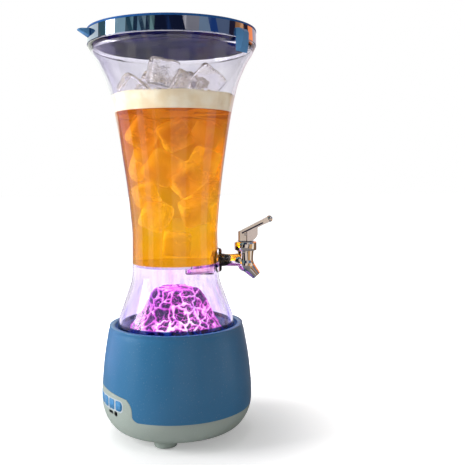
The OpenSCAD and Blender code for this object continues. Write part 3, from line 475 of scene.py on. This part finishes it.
def rock_material():
    """Lamp rock: dark cells between glowing veins; the veins come with the mesh as an attribute."""
    made, tree, shader = material("rock_glow")
    vein = add(tree, "ShaderNodeAttribute", attribute_name="vein").outputs["Fac"]
    fine = noise(tree, 320.0, 4.0)
    x, _, z = xyz(tree)
    off_middle = maths(tree, "ABSOLUTE", maths(tree, "SUBTRACT", x, 0.004))
    near_lamp = product(tree, spread(tree, z, 0.158, 0.124), spread(tree, off_middle, 0.04, 0.004))
    heat = spread(tree, near_lamp, 0.0, 1.0, 0.86, 1.5)
    uneven = product(tree, maths(tree, "SUBTRACT", fine, 0.5), 0.6)
    hot = maths(tree, "MULTIPLY", maths(tree, "ADD", vein, uneven), heat, clamp=True)
    ramp = add(tree, "ShaderNodeValToRGB", {0: hot})
    stops = ramp.color_ramp.elements
    stops[0].color, stops[1].color = (0.022, 0.003, 0.05, 1), (1.0, 0.86, 1.0, 1)
    for position, colour in ((0.27, (0.07, 0.008, 0.12, 1)), (0.44, (0.46, 0.03, 0.42, 1)),
                             (0.7, (0.92, 0.18, 0.82, 1))):
        stops.new(position).color = colour
    cool = product(tree, spread(tree, x, -0.01, -0.04), spread(tree, z, 0.14, 0.17))
    toned = mix(tree, cool, ramp.outputs[0], (0.3, 0.28, 1.0, 1), "MULTIPLY")
    give(tree, shader, {
        "Base Color": mix(tree, 1.0, toned, (0.3, 0.3, 0.3, 1), "MULTIPLY"),
        "Emission Color": toned, "Emission Strength": 1.1, "Roughness": 0.55,
        "Normal": bump(tree, 0.4, 0.5, fine)})
    return made


# Finishes

base_blue = plastic("base_blue", srgb(48, 116, 162), 0.38, 0.12, 0.5, 0.1, coat=0.1)
pan_grey = plastic("pan_grey", srgb(166, 178, 170), 0.5, 0.08, 0.7, 0.2)
frame_white = plastic("frame_white", srgb(190, 203, 210), 0.38, 0.06)
key_blue = plastic("key_blue", srgb(62, 140, 196), 0.34, 0.08, specks=0.2)
black_plastic = plastic("black_plastic", srgb(24, 25, 28), 0.45, 0.1)
rubber_black = plastic("rubber_black", srgb(34, 34, 36), 0.8, 0.15, 1.2)
lamp_white = plastic("lamp_white", srgb(226, 214, 236), 0.5, 0.05)
board_green = plastic("board_green", srgb(28, 92, 58), 0.42, 0.2)
cell_green = plastic("cell_green", srgb(52, 120, 84), 0.35, 0.1)
cone_paper = plastic("cone_paper", srgb(42, 42, 44), 0.85, 0.3, 1.5)
magnet_iron = plastic("magnet_iron", srgb(96, 98, 102), 0.42, 0.15, metal=0.8)
socket_steel = polished("socket_steel", (0.55, 0.57, 0.6, 1), 0.2)
grille_steel = polished("grille_steel", (0.5, 0.52, 0.55, 1), 0.3)
screw_steel = polished("screw_steel", (0.58, 0.58, 0.6, 1), 0.25)
chrome = polished("tap_chrome", (0.88, 0.85, 0.82, 1), 0.06, 0.06)
band_mirror = polished("band_mirror", (0.3, 0.36, 0.47, 1), 0.04, 0.05, 0.15)
tank_clear = tank_material()
floor_clear = clear("floor_clear", (0.9, 0.88, 0.96, 1), (0.62, 0.56, 0.8, 1))
washer_clear = clear("washer_clear", (0.93, 0.9, 0.84, 1), (0.75, 0.66, 0.5, 1))
silicone = clear("silicone_clear", (0.86, 0.86, 0.88, 1), (0.7, 0.7, 0.74, 1), 1.41, 0.25)
lid_blue = lid_material()
lever_chrome = lever_material()
beer_amber = beer_material()
sunk_ice = ice_material("sunk_ice", (1.0, 0.86, 0.5, 1), (1.0, 0.93, 0.74, 1),
                        (1.0, 0.74, 0.1, 1), 1.1, 0.66, 0.46)
top_ice = ice_material("top_ice", (0.95, 0.93, 0.95, 1), (0.93, 0.88, 0.8, 1),
                       (0.66, 0.55, 0.44, 1), 1.36, 0.93, 0.56)
beer_foam = foam_material()
rock_glow = rock_material()
# The drink in the sump is no lamp: its pink glow is painted light of the lamp below.
sump_glow_painted = lamp_glow("sump_glow_painted", (1.0, 0.34, 0.42, 1), 0.55)
led_pink = lamp_glow("led_pink", (1.0, 0.25, 0.9, 1), 2.0)


# Mesh tools

def painted(mesh, finish):
    """One finish all over a mesh."""
    mesh.materials.clear()
    mesh.materials.append(finish)


def smooth(mesh, angle):
    """Smooth faces, with the edges sharp that turn by more than an angle in degrees."""
    mesh.polygons.foreach_set("use_smooth", [True] * len(mesh.polygons))
    mesh.set_sharp_from_angle(angle=math.radians(angle))


def piece(name, mesh, finish, body, replaced=(), angle=35):
    """Object at the origin with smooth faces, riding on its body."""
    made = placed(name, mesh)
    if finish:
        painted(mesh, finish)
    smooth(mesh, angle)
    if replaced:
        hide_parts(*replaced)
    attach(made, body)
    return made


def mesh_of(name, points, faces=()):
    mesh = bpy.data.meshes.new(name)
    mesh.from_pydata(points, [], faces)
    return mesh


def tidy_mesh(mesh, merge=2e-6):
    """Mesh with points closer than the merge distance joined, and its faces turned outward."""
    shape = bmesh.new()
    shape.from_mesh(mesh)
    bmesh.ops.remove_doubles(shape, verts=shape.verts, dist=merge)
    bmesh.ops.recalc_face_normals(shape, faces=shape.faces)
    shape.to_mesh(mesh)
    shape.free()
    return mesh


def ring_faces(turns, n, closed=False):
    """Faces between each upright row of n points and the next one, all the way round."""
    faces = []
    for i in range(turns):
        j = (i + 1) % turns
        for k in range(n if closed else n - 1):
            m = (k + 1) % n
            faces.append((i * n + k, j * n + k, j * n + m, i * n + m))
    return faces


def spun(name, outline, turns=192, closed=False):
    """Outline of (radius, height) in millimetres, spun round the tank's axis."""
    outline = np.array(outline, float) * mm
    angles = np.arange(turns) * 2 * math.pi / turns
    points = [(r * math.cos(a), r * math.sin(a), z) for a in angles for r, z in outline]
    return tidy_mesh(mesh_of(name, points, ring_faces(turns, len(outline), closed)))


def smooth_line(points, steps):
    """Smooth curve through the points."""
    p = np.array(points, float)
    out = []
    for i in range(len(p) - 1):
        a, b, c, d = p[max(i - 1, 0)], p[i], p[i + 1], p[min(i + 2, len(p) - 1)]
        for k in range(steps):
            t = k / steps
            out.append(b + t * (c - a) / 2 + t * t * (2 * a - 5 * b + 4 * c - d) / 2
                       + t ** 3 * (3 * b - a - 3 * c + d) / 2)
    return np.array(out + [p[-1]])


def moved_in(line, depth):
    """Outline moved inward, at right angles to itself."""
    way = np.gradient(line, axis=0)
    way /= np.linalg.norm(way, axis=1)[:, None]
    return line + depth * np.stack([-way[:, 1], way[:, 0]], axis=1)


def applied(holder):
    """Mesh of an object after its modifiers, which are then taken off."""
    mesh = bpy.data.meshes.new_from_object(
        holder.evaluated_get(bpy.context.evaluated_depsgraph_get()))
    holder.modifiers.clear()
    return mesh


def combined(target, mesh, operation):
    """Boolean of an object with a mesh."""
    tool = placed("tool", mesh)
    step = target.modifiers.new("cut", "BOOLEAN")
    step.operation, step.object, step.solver = operation, tool, "EXACT"
    target.data = applied(target)
    bpy.data.objects.remove(tool)


def at(place):
    """Move to a place given in millimetres."""
    return Matrix.Translation([v * mm for v in place])


def rod(turn, radius, start, end, sides, chamfer):
    """Plain round bar along its own Z between two heights, in millimetres, then turned."""
    c = chamfer
    profile = [(0, start), (radius - c, start), (radius, start + c), (radius, end - c),
               (radius - c, end), (0, end)]
    mesh = spun("rod", profile, sides)
    mesh.transform(turn)
    return mesh


def soft_block(name, sizes, bevel, segments, place):
    """Box with rounded edges, in millimetres, put in its place."""
    block = bmesh.new()
    bmesh.ops.create_cube(block, size=1)
    bmesh.ops.scale(block, vec=tuple(v * mm for v in sizes), verts=block.verts)
    bmesh.ops.bevel(block, geom=block.edges[:], offset=bevel * mm, segments=segments,
                    affect="EDGES", profile=0.5)
    mesh = bpy.data.meshes.new(name)
    block.to_mesh(mesh)
    block.free()
    mesh.transform(place)
    return mesh


def dressed(node, finish, angle=30, name=None):
    """Copy of a node's solid with its faces joined, so that its curves shade as one."""
    mesh = nodes[node].data.copy()
    tidy_mesh(mesh)
    return piece(name or node + "_shell", mesh, finish, body_of_node[node],
                 (node,), angle)


# Tank

# How far up (of the skirt's or the flare's height) and how wide, each from 0 to 1
SKIRT_SHARES = [(0, 1), (0.096, 0.955), (0.196, 0.815), (0.279, 0.635), (0.362, 0.46),
                (0.445, 0.28), (0.511, 0.14), (0.578, 0.06), (0.661, 0.035), (0.827, 0.015)]
FLARE_SHARES = [(0, 0), (0.089, 0.03), (0.177, 0.066), (0.309, 0.137), (0.44, 0.223),
                (0.571, 0.319), (0.657, 0.392), (0.743, 0.48), (0.829, 0.598),
                (0.915, 0.782), (0.957, 0.905), (1, 1)]
stations = ([(WAIST_R + (SKIRT_R - WAIST_R) * r, SKIRT_Z + (WAIST_Z - SKIRT_Z) * z)
             for z, r in SKIRT_SHARES]
            + [(WAIST_R + (MOUTH_R - WAIST_R) * r, WAIST_Z + (MOUTH_Z - WAIST_Z) * z)
               for z, r in FLARE_SHARES])
tank_outer = smooth_line(stations, 5)
tank_inner = moved_in(tank_outer, TANK_WALL)


def wall_radius(z):
    """Inner radius of the tank at a height."""
    return float(np.interp(z, tank_inner[:, 1], tank_inner[:, 0]))


# Bars along the tap's shank: radius, start, end, sides, chamfer, and what the tank does with them
TAP_BARS = [(11.4, 43.5, 48.5, 64, 0, "UNION"), (14.5, 47.2, 51.6, 96, 0.6, "UNION"),
            (6.3, 40, 60, 64, 0, "DIFFERENCE")]
LUG_TURNS, LUG_SIZES, LUG_PLACE = (-93, 27, 147), (4.9, 8, 5), (70.5, 0, 120.9)


def make_tank():
    """Spun wall with a collar, the tap's boss with its hole, and the lugs of the foot."""
    lip, inner_foot, collar_inner = 0.5, SKIRT_Z + 0.8, COLLAR_R - TANK_WALL
    inner = tank_inner[(tank_inner[:, 1] > inner_foot) & (tank_inner[:, 1] < MOUTH_Z - 4.5)]
    outline = ([(SKIRT_R - TANK_WALL + lip, SKIRT_Z), (SKIRT_R - lip, SKIRT_Z)]
               + [tuple(p) for p in tank_outer[1:-1]]
               + [(MOUTH_R - lip, MOUTH_Z - lip / 4), (COLLAR_R + lip, MOUTH_Z),
                  (COLLAR_R, MOUTH_Z + lip), (COLLAR_R, COLLAR_TOP - lip),
                  (COLLAR_R - lip, COLLAR_TOP), (collar_inner + lip, COLLAR_TOP),
                  (collar_inner, COLLAR_TOP - lip), (collar_inner, MOUTH_Z - 3)]
               + [tuple(p) for p in inner[::-1]] + [(wall_radius(inner_foot), inner_foot)])
    tank = piece("tank_shell", spun("tank_shell", outline, closed=True), tank_clear, "tank")
    across = at((0, 0, TAP_Z)) @ Matrix.Rotation(math.pi / 2, 4, "Y")
    for *bar, operation in TAP_BARS:
        combined(tank, rod(across, *bar), operation)
    for turn in LUG_TURNS:
        place = Matrix.Rotation(math.radians(turn), 4, "Z") @ at(LUG_PLACE)
        combined(tank, soft_block("lug", LUG_SIZES, 0.7, 3, place), "UNION")
    smooth(tidy_mesh(tank.data, 1e-6), 40)
    painted(tank.data, tank_clear)
    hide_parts("tank")
    tank.visible_shadow = False


# Drink

def make_beer():
    """Drink above the tank's floor, and the drink in the floor's sump."""
    rows = [(wall_radius(z) + BEER_IN_WALL, z) for z in np.linspace(FLOOR_Z, BEER_TOP, 40)]
    beer = piece("beer", spun("beer", [(0, FLOOR_Z)] + rows + [(0, BEER_TOP)]), beer_amber,
                 "tank", angle=50)
    beer.visible_shadow = False
    sump = soft_block("sump_drink", SUMP_SIZES, 1.5, 4, at(SUMP_PLACE))
    piece("sump_drink", sump, sump_glow_painted, "tank")


def make_foam():
    """Foam: a disc of froth whose top is lumpy and creeps up the wall."""
    turns = 192
    rng = np.random.default_rng(5)
    waves = [(rng.integers(1, 9), rng.uniform(0, 6.28), rng.uniform(0.2, 0.8)) for _ in range(9)]
    side = [(wall_radius(z) + FOAM_IN_WALL, z) for z in np.linspace(BEER_TOP, FOAM_TOP - 1.5, 12)]
    rim_r = wall_radius(FOAM_TOP) + FOAM_RIM_IN_WALL
    top = [(rim_r - 0.6, FOAM_TOP - 0.5), (rim_r - 2.5, FOAM_TOP)]
    top += [(rim_r * s, FOAM_TOP - 0.4) for s in np.linspace(0.95, 0.02, 32)]
    profile, points = side + top, []
    for i in range(turns):
        a = 2 * math.pi * i / turns
        for k, (r, z) in enumerate(profile):
            if k >= len(side) - 1:
                z += sum(h * math.sin(n * a + p + r / 7) for n, p, h in waves) * 0.45
            points.append((r * mm * math.cos(a), r * mm * math.sin(a), z * mm))
    n = len(profile)
    bottom, middle = [i * n for i in range(turns)][::-1], [i * n + n - 1 for i in range(turns)]
    mesh = mesh_of("foam", points, ring_faces(turns, n) + [bottom, middle])
    piece("foam", tidy_mesh(mesh), beer_foam, "tank", angle=60)


def geometry_tree(name, inputs):
    """Geometry node tree with a mesh in, a mesh out and named values."""
    return node_group(name, "GeometryNodeTree", {"Geometry": "geometry"} | inputs,
                      {"Geometry": "geometry"})


def set_on_points(tree, points, shape, size, turn=None):
    """A shape set on each point, as real mesh."""
    inputs = {"Points": points, "Instance": shape, "Scale": size}
    if turn:
        inputs["Rotation"] = turn
    set_out = add(tree, "GeometryNodeInstanceOnPoints", inputs)
    return add(tree, "GeometryNodeRealizeInstances", {0: set_out.outputs[0]}).outputs[0]


def moved(tree, geometry, offset):
    return add(tree, "GeometryNodeSetPosition",
               {"Geometry": geometry, "Offset": offset}).outputs[0]


def scaled(tree, vector, by):
    return add(tree, "ShaderNodeVectorMath", {0: vector, "Scale": by},
               operation="SCALE").outputs[0]


def end_tree(tree, out, geometry, finish):
    """End of a tree: its mesh in its finish."""
    done = add(tree, "GeometryNodeSetMaterial", {"Geometry": geometry, "Material": finish})
    give(tree, out, {"Geometry": done.outputs[0]})


def grown(name, tree, base, values, body, replaced=(), angle=60):
    """Plain mesh that a geometry node tree makes from a base mesh."""
    holder = placed(name + "_base", base)
    step = holder.modifiers.new("grow", "NODES")
    step.node_group = tree
    sockets = {i.name: i.identifier for i in tree.interface.items_tree if i.in_out == "INPUT"}
    for key, value in values.items():
        step[sockets[key]] = value
    mesh = applied(holder)
    bpy.data.objects.remove(holder)
    return piece(name, mesh, None, body, replaced, angle)


def ice_tree():
    """Rounded cubes set on points; each takes its turn and size from the point."""
    tree, given, out = geometry_tree("ice_cubes", {"Wobble": "value", "Wobble Size": "value",
                                                   "Ice": "finish"})
    cube = add(tree, "GeometryNodeMeshCube", {"Size": (1, 1, 1), "Vertices X": 4,
                                              "Vertices Y": 4, "Vertices Z": 4})
    soft = add(tree, "GeometryNodeSubdivisionSurface", {"Mesh": cube.outputs[0], "Level": 3})
    turn, size = (add(tree, "GeometryNodeInputNamedAttribute", {"Name": name},
                      data_type="FLOAT_VECTOR").outputs[0] for name in ("turn", "size"))
    cubes = set_on_points(tree, given["Geometry"], soft.outputs[0], size, turn)
    field = add(tree, "ShaderNodeTexNoise", {"Scale": given["Wobble Size"], "Detail": 2.0})
    centred = add(tree, "ShaderNodeVectorMath", {0: field.outputs["Color"], 1: (0.5, 0.5, 0.5)},
                  operation="SUBTRACT").outputs[0]
    end_tree(tree, out, moved(tree, cubes, scaled(tree, centred, given["Wobble"])), given["Ice"])
    return tree


def ice_points(name, cubes):
    """Points with a turn and a size for each cube: (x, y, z, turns in degrees, sizes) in mm."""
    points = []
    for x, y, z, _, size in cubes:
        most = min(wall_radius(z - 10), wall_radius(z + 10)) - 0.6 * max(size) - 1
        pull = min(1, most / math.hypot(x, y))
        points.append((x * pull * mm, y * pull * mm, z * mm))
    mesh = mesh_of(name, points)
    turn = mesh.attributes.new("turn", "FLOAT_VECTOR", "POINT")
    turn.data.foreach_set("vector", [math.radians(v) for c in cubes for v in c[3]])
    size = mesh.attributes.new("size", "FLOAT_VECTOR", "POINT")
    size.data.foreach_set("vector", [v * mm for c in cubes for v in c[4]])
    return mesh


# Cubes in the drink: place of the middle, turns, and sizes
SUNK_CUBES = [
    (-38, -32, 352, (12, 25, 20), (30, 26, 34)), (6, -48, 348, (20, -28, 10), (32, 26, 30)),
    (46, -26, 350, (5, 30, -20), (26, 28, 26)), (-40, -18, 316, (30, 8, 12), (26, 28, 34)),
    (-14, -40, 312, (10, 32, 16), (34, 26, 36)), (22, -36, 300, (24, -34, 20), (36, 26, 30)),
    (46, -12, 318, (14, 20, 40), (26, 26, 34)), (-34, -22, 282, (8, -22, 10), (26, 24, 26)),
    (-24, -30, 258, (18, 26, -14), (30, 24, 30)), (30, -24, 262, (26, -14, 16), (30, 24, 28)),
    (4, -26, 226, (12, 6, 8), (30, 24, 26)), (30, 30, 284, (50, 14, 30), (30, 30, 30))]
# Cubes that stand out of the foam
TOP_CUBES = [
    (-8, -34, 417, (14, 8, 20), (32, 28, 30)), (-46, -24, 400, (24, 30, 30), (32, 28, 26)),
    (42, -30, 407, (10, 42, 14), (32, 28, 32)), (14, -34, 404, (30, 20, 40), (22, 22, 26)),
    (-24, 10, 404, (40, 20, 10), (34, 34, 26)), (16, 12, 405, (12, 50, 36), (34, 32, 28)),
    (-36, 42, 401, (20, 24, 50), (32, 32, 24)), (24, 50, 402, (50, 12, 20), (34, 30, 26))]


def make_ice():
    """Ice in the drink and ice that stands out of the foam."""
    tree = ice_tree()
    for kind, cubes, wobble, wobble_size, finish in (
            ("sunk", SUNK_CUBES, 5, 60.0, sunk_ice), ("top", TOP_CUBES, 4, 45.0, top_ice)):
        ice = grown(kind + "_ice_cubes", tree, ice_points(kind + "_points", cubes),
                    {"Wobble": wobble * mm, "Wobble Size": wobble_size, "Ice": finish},
                    "tank")
        ice.visible_shadow = False


def bubble_tree():
    """Small bubbles scattered over a surface with a fixed seed."""
    tree, given, out = geometry_tree("froth_bubbles", {
        "Density": "value", "Smallest": "value", "Largest": "value", "Seed": "count",
        "Froth": "finish"})
    scattered = add(tree, "GeometryNodeDistributePointsOnFaces",
                    {"Mesh": given["Geometry"], "Density": given["Density"],
                     "Seed": given["Seed"]})
    ball = add(tree, "GeometryNodeMeshIcoSphere", {"Radius": 1.0, "Subdivisions": 2})
    size = add(tree, "FunctionNodeRandomValue", {2: given["Smallest"], 3: given["Largest"],
                                                 "Seed": given["Seed"]})
    bubbles = set_on_points(tree, scattered.outputs[0], ball.outputs[0], size.outputs[1])
    end_tree(tree, out, bubbles, given["Froth"])
    return tree


def make_bubbles():
    """Bubbles strewn over the top of the foam."""
    outline = [(wall_radius(FOAM_TOP) * s, FOAM_TOP + 0.2) for s in np.linspace(0.97, 0.03, 8)]
    grown("foam_bubbles", bubble_tree(), spun("froth_top", outline, 96),
          {"Density": 42000.0, "Smallest": 0.5 * mm, "Largest": 1.7 * mm, "Seed": 3,
           "Froth": beer_foam}, "tank")


# Rock lamp

def rock_tree():
    """Mound of lava rock: a round cap pushed in and out, with pits between raised veins."""
    tree, given, out = geometry_tree("lava_rock", {"Lump": "value", "Pit": "value",
                                                   "Cell Size": "value", "Rock": "finish"})
    place = add(tree, "GeometryNodeInputPosition").outputs[0]
    facing = add(tree, "GeometryNodeInputNormal").outputs[0]

    def field(scale, **more):
        return add(tree, "ShaderNodeTexNoise", {"Vector": place, "Scale": scale, **more}).outputs

    bent = add(tree, "ShaderNodeVectorMath", {
        0: field(90.0, Detail=2.0)["Color"], 1: (0.014,) * 3, 2: place},
        operation="MULTIPLY_ADD").outputs[0]
    vein = spread(tree, cells(tree, bent, given["Cell Size"]), 0.16, 0.015)
    thread = product(tree, spread(tree, cells(tree, bent, 170.0), 0.12, 0.02), 0.62)
    raised = maths(tree, "MAXIMUM", vein, thread)
    patchy = spread(tree, field(45.0)[0], 0.34, 0.62, 0.55, 1.05)
    kept = add(tree, "GeometryNodeStoreNamedAttribute", {
        "Geometry": given["Geometry"], "Name": "vein",
        "Value": maths(tree, "MULTIPLY", raised, patchy, clamp=True)},
        data_type="FLOAT", domain="POINT").outputs[0]
    swell = product(tree, maths(tree, "SUBTRACT", field(34.0, Detail=2.0)[0], 0.62),
                    given["Lump"])
    pit = product(tree, maths(tree, "SUBTRACT", raised, 1.0), given["Pit"])
    push = scaled(tree, facing, maths(tree, "ADD", swell, pit))
    end_tree(tree, out, moved(tree, kept, push), given["Rock"])
    return tree


def make_rock():
    """Mound of rock from a spun cap: its crest is (radius, height)."""
    crest = smooth_line([(56.4, ROCK_FOOT), (56, 122), (53.5, 130), (48.5, 138), (43, 146),
                         (38.5, 153), (34.5, 160), (30.5, 166.5), (25, 171), (15, 173.4),
                         (0.6, ROCK_TOP)], 15)
    outline = ([(r, ROCK_FOOT) for r in (0, 28, 50)] + [tuple(p) for p in crest]
               + [(0, ROCK_TOP)])
    grown("lava_rock", rock_tree(), spun("rock_cap", outline, 320),
          {"Lump": 16 * mm, "Pit": 2.4 * mm, "Cell Size": 74.0, "Rock": rock_glow},
          "base", ("rock_lamp",), 70)


# The rest of the tower

make_tank()
make_beer()
make_foam()
make_ice()
make_bubbles()
make_rock()

dressed("base_housing", base_blue)
dressed("base_pan", pan_grey)
dressed("panel_frame", frame_white)
for number in range(1, 8):
    dressed(f"button_{number}", key_blue, name=f"key_{number}")
dressed("lid_cap", lid_blue)
dressed("lid_band", band_mirror)
dressed("tank_floor", floor_clear).visible_shadow = False
dressed("tap_washer_outer", washer_clear).visible_shadow = False
dressed("tap_body", chrome, 16)
dressed("tap_bonnet", chrome)
dressed("tap_stem", chrome)
dressed("tap_lever", lever_chrome)
spring = dressed("tap_spring", socket_steel)
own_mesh(spring)

# Nodes that keep their own mesh
PLAIN = {
    "button_board": board_green, "tact_switches": black_plastic, "usb_socket": socket_steel,
    "audio_jack": black_plastic, "main_board": board_green, "battery_tray": black_plastic,
    "battery_cells": cell_green, "speaker_basket": black_plastic,
    "speaker_magnet": magnet_iron, "speaker_cone": cone_paper,
    "speaker_grille": grille_steel, "foot_pads": rubber_black, "base_screws": screw_steel,
    "lamp_plate": lamp_white, "led_board": board_green, "leds": led_pink,
    "seat_gasket": rubber_black, "tap_washer_inner": silicone, "tap_nut": chrome,
    "stem_seal": rubber_black, "lever_pin": screw_steel,
    "lid_gasket": silicone}
for node, finish in PLAIN.items():
    painted(nodes[node].data, finish)


# Studio

def seen_by_eye(path):
    """The Light Path node's camera and transmission rays, as one value."""
    return maths(path.id_data, "MAXIMUM", path.outputs["Is Camera Ray"],
                 path.outputs["Is Transmission Ray"])


def floor_material():
    """Pale floor that glows white away from the tower, with a painted darker pool round the tower's
    foot that deepens its shadow, and shows darker in mirrors.
    """
    made, tree, shader = material("studio_floor")
    path = add(tree, "ShaderNodeLightPath")
    mirrored = product(tree, path.outputs["Is Glossy Ray"],
                       maths(tree, "SUBTRACT", 1.0, path.outputs["Is Transmission Ray"]))
    # Painted shade: the glow fades towards the tower, so the floor round its foot stays darker.
    away = spread(tree, length(tree, here(tree)), 0.09, 0.3, 0.3, 0.95)
    give(tree, shader, {
        "Base Color": mix(tree, mirrored, (0.93, 0.93, 0.94, 1), (0.3, 0.28, 0.28, 1)),
        "Roughness": 0.9, "Specular IOR Level": 0.1, "Emission Color": WHITE,
        "Emission Strength": product(tree, seen_by_eye(path), away)})
    return made


def make_floor():
    """Plain floor under the tower, wide enough to pass for endless."""
    far = 9
    corners = [(-far, -far, 0), (far, -far, 0), (far, far, 0), (-far, far, 0)]
    mesh = mesh_of("studio_floor", corners, [(0, 1, 2, 3)])
    mesh.materials.append(floor_material())
    made = placed("studio_floor", mesh)


def card_material(name, colour):
    """Plain light of one colour."""
    made = bpy.data.materials.new(name)
    made.use_nodes = True
    tree = made.node_tree
    tree.nodes.clear()
    lamp = add(tree, "ShaderNodeEmission", {"Color": (*colour, 1), "Strength": 1.0})
    add(tree, "ShaderNodeOutputMaterial", {"Surface": lamp.outputs[0]})
    return made


def ring_of_cards(name, profile, cards):
    """Upright cards round the tower that only mirrors and clear walls see: (from, to, colour),
    with the angles measured from the front towards the tap, in degrees."""
    for number, (start, end, colour) in enumerate(cards):
        steps = max(1, int(abs(end - start) / 12))
        angles = [math.radians(-90 + start + (end - start) * k / steps) for k in range(steps + 1)]
        points = [(r * math.cos(a), r * math.sin(a), z) for r, z in profile for a in angles]
        n = len(angles)
        rows = [n * row for row in range(len(profile) - 1)]
        mesh = mesh_of(f"{name}_{number}", points, [(m + k, m + k + 1, m + n + k + 1, m + n + k)
                                                    for m in rows for k in range(n - 1)])
        card = placed(f"{name}_{number}", mesh)
        mesh.materials.append(card_material(f"{name}_{number}", colour))
        card.visible_camera = card.visible_diffuse = card.visible_shadow = False
        card.visible_transmission = False


def soft_lamp(name, place, aim, width, height, power):
    """White area light that mirrors don't show."""
    data = bpy.data.lights.new(name, "AREA")
    data.shape, data.size, data.size_y, data.energy = "RECTANGLE", width, height, power
    lamp = placed(name, data)
    lamp.location = place
    lamp.rotation_euler = (Vector(aim) - Vector(place)).to_track_quat("-Z", "Y").to_euler()
    lamp.visible_glossy = False


def lamp_light():
    """Violet light of the lamp, inside the tank above the rock."""
    data = bpy.data.lights.new("lamp_light", "POINT")
    data.energy, data.color, data.shadow_soft_size = 0.25, (0.72, 0.4, 1.0), 0.02
    lamp = placed("lamp_light", data)
    lamp.location = (0, -0.02, 0.186)
    lamp.visible_glossy = lamp.visible_camera = lamp.visible_transmission = False


DIM_WORLD = 0.24


def make_world():
    """White for the eye and through clear walls, dim for all other light."""
    world = bpy.data.worlds.new("studio")
    bpy.context.scene.world = world
    world.use_nodes = True
    tree = world.node_tree
    seen = seen_by_eye(add(tree, "ShaderNodeLightPath"))
    give(tree, tree.nodes["Background"], {
        "Color": WHITE, "Strength": spread(tree, seen, 0.0, 1.0, DIM_WORLD, 1.0)})


make_world()
make_floor()
ring_of_cards("upper_card", [(1.25, 0.34), (1.25, 1.3)], [
    (-180, -107, (1.3, 1.35, 1.25)), (-107, -104, (1.5, 0.7, 0.35)), (-104, -89, (0.1, 0.2, 0.22)),
    (-87, -74, (7, 7, 7)), (-73, -55, (0.55, 0.75, 0.75)), (-54, -47, (0.05, 0.12, 0.15)),
    (-47, -44, (0.35, 0.55, 0.55)), (-44, -38, (0.03, 0.06, 0.1)), (-38, -36, (0.3, 0.45, 0.5)),
    (-36, -31, (0.04, 0.08, 0.12)), (-31, -29, (0.4, 0.5, 0.5)), (-29, -24, (0.03, 0.05, 0.09)),
    (-24, -19, (0.4, 0.6, 0.5)), (-19, -2, (0.015, 0.02, 0.05)), (-2, 2, (0.03, 0.07, 0.2)),
    (2, 20, (0.015, 0.02, 0.05)), (20, 24, (1.1, 0.9, 0.8)), (24, 40, (0.5, 0.42, 0.4)),
    (40, 53, (0.36, 0.44, 0.52)), (53, 64, (0.03, 0.09, 0.3)), (64, 82, (0.2, 0.24, 0.34)),
    (82, 93, (0.04, 0.03, 0.06)), (93, 104, (0.75, 0.3, 0.12)), (104, 112, (1.6, 0.7, 0.3)),
    (112, 124, (0.06, 0.03, 0.04)), (124, 140, (2.2, 0.6, 0.2)), (141, 180, (0.8, 0.66, 0.7))])
ring_of_cards("lower_card", [(0.45, 0.004), (1.15, 0.004), (1.15, 0.33)], [
    (-180, -128, (0.3, 0.24, 0.4)), (-127, -92, (0.9, 0.75, 1.2)),
    (-91, -70, (0.12, 0.06, 0.03)), (-69, -55, (1.0, 0.92, 0.82)), (-54, -37, (0.01, 0.01, 0.015)),
    (-36, -30, (0.7, 0.58, 0.46)), (-29, -2, (0.01, 0.01, 0.02)), (-2, 32, (0.72, 0.62, 0.55)),
    (33, 42, (0.03, 0.03, 0.05)), (43, 73, (0.6, 0.36, 0.16)), (74, 96, (0.95, 0.85, 0.75)),
    (97, 143, (0.2, 0.12, 0.07)), (144, 180, (0.5, 0.46, 0.5))])
lamp_light()
soft_lamp("key_lamp", (-1.8, -0.3, 0.75), (0, 0, 0.2), 0.9, 1.3, 34)
soft_lamp("fill_lamp", (1.2, -1.6, 0.7), (0, 0, 0.25), 1.0, 1.0, 2.5)
soft_lamp("top_lamp", (-0.3, 0.1, 1.7), (0, 0, 0.3), 1.2, 1.2, 9)
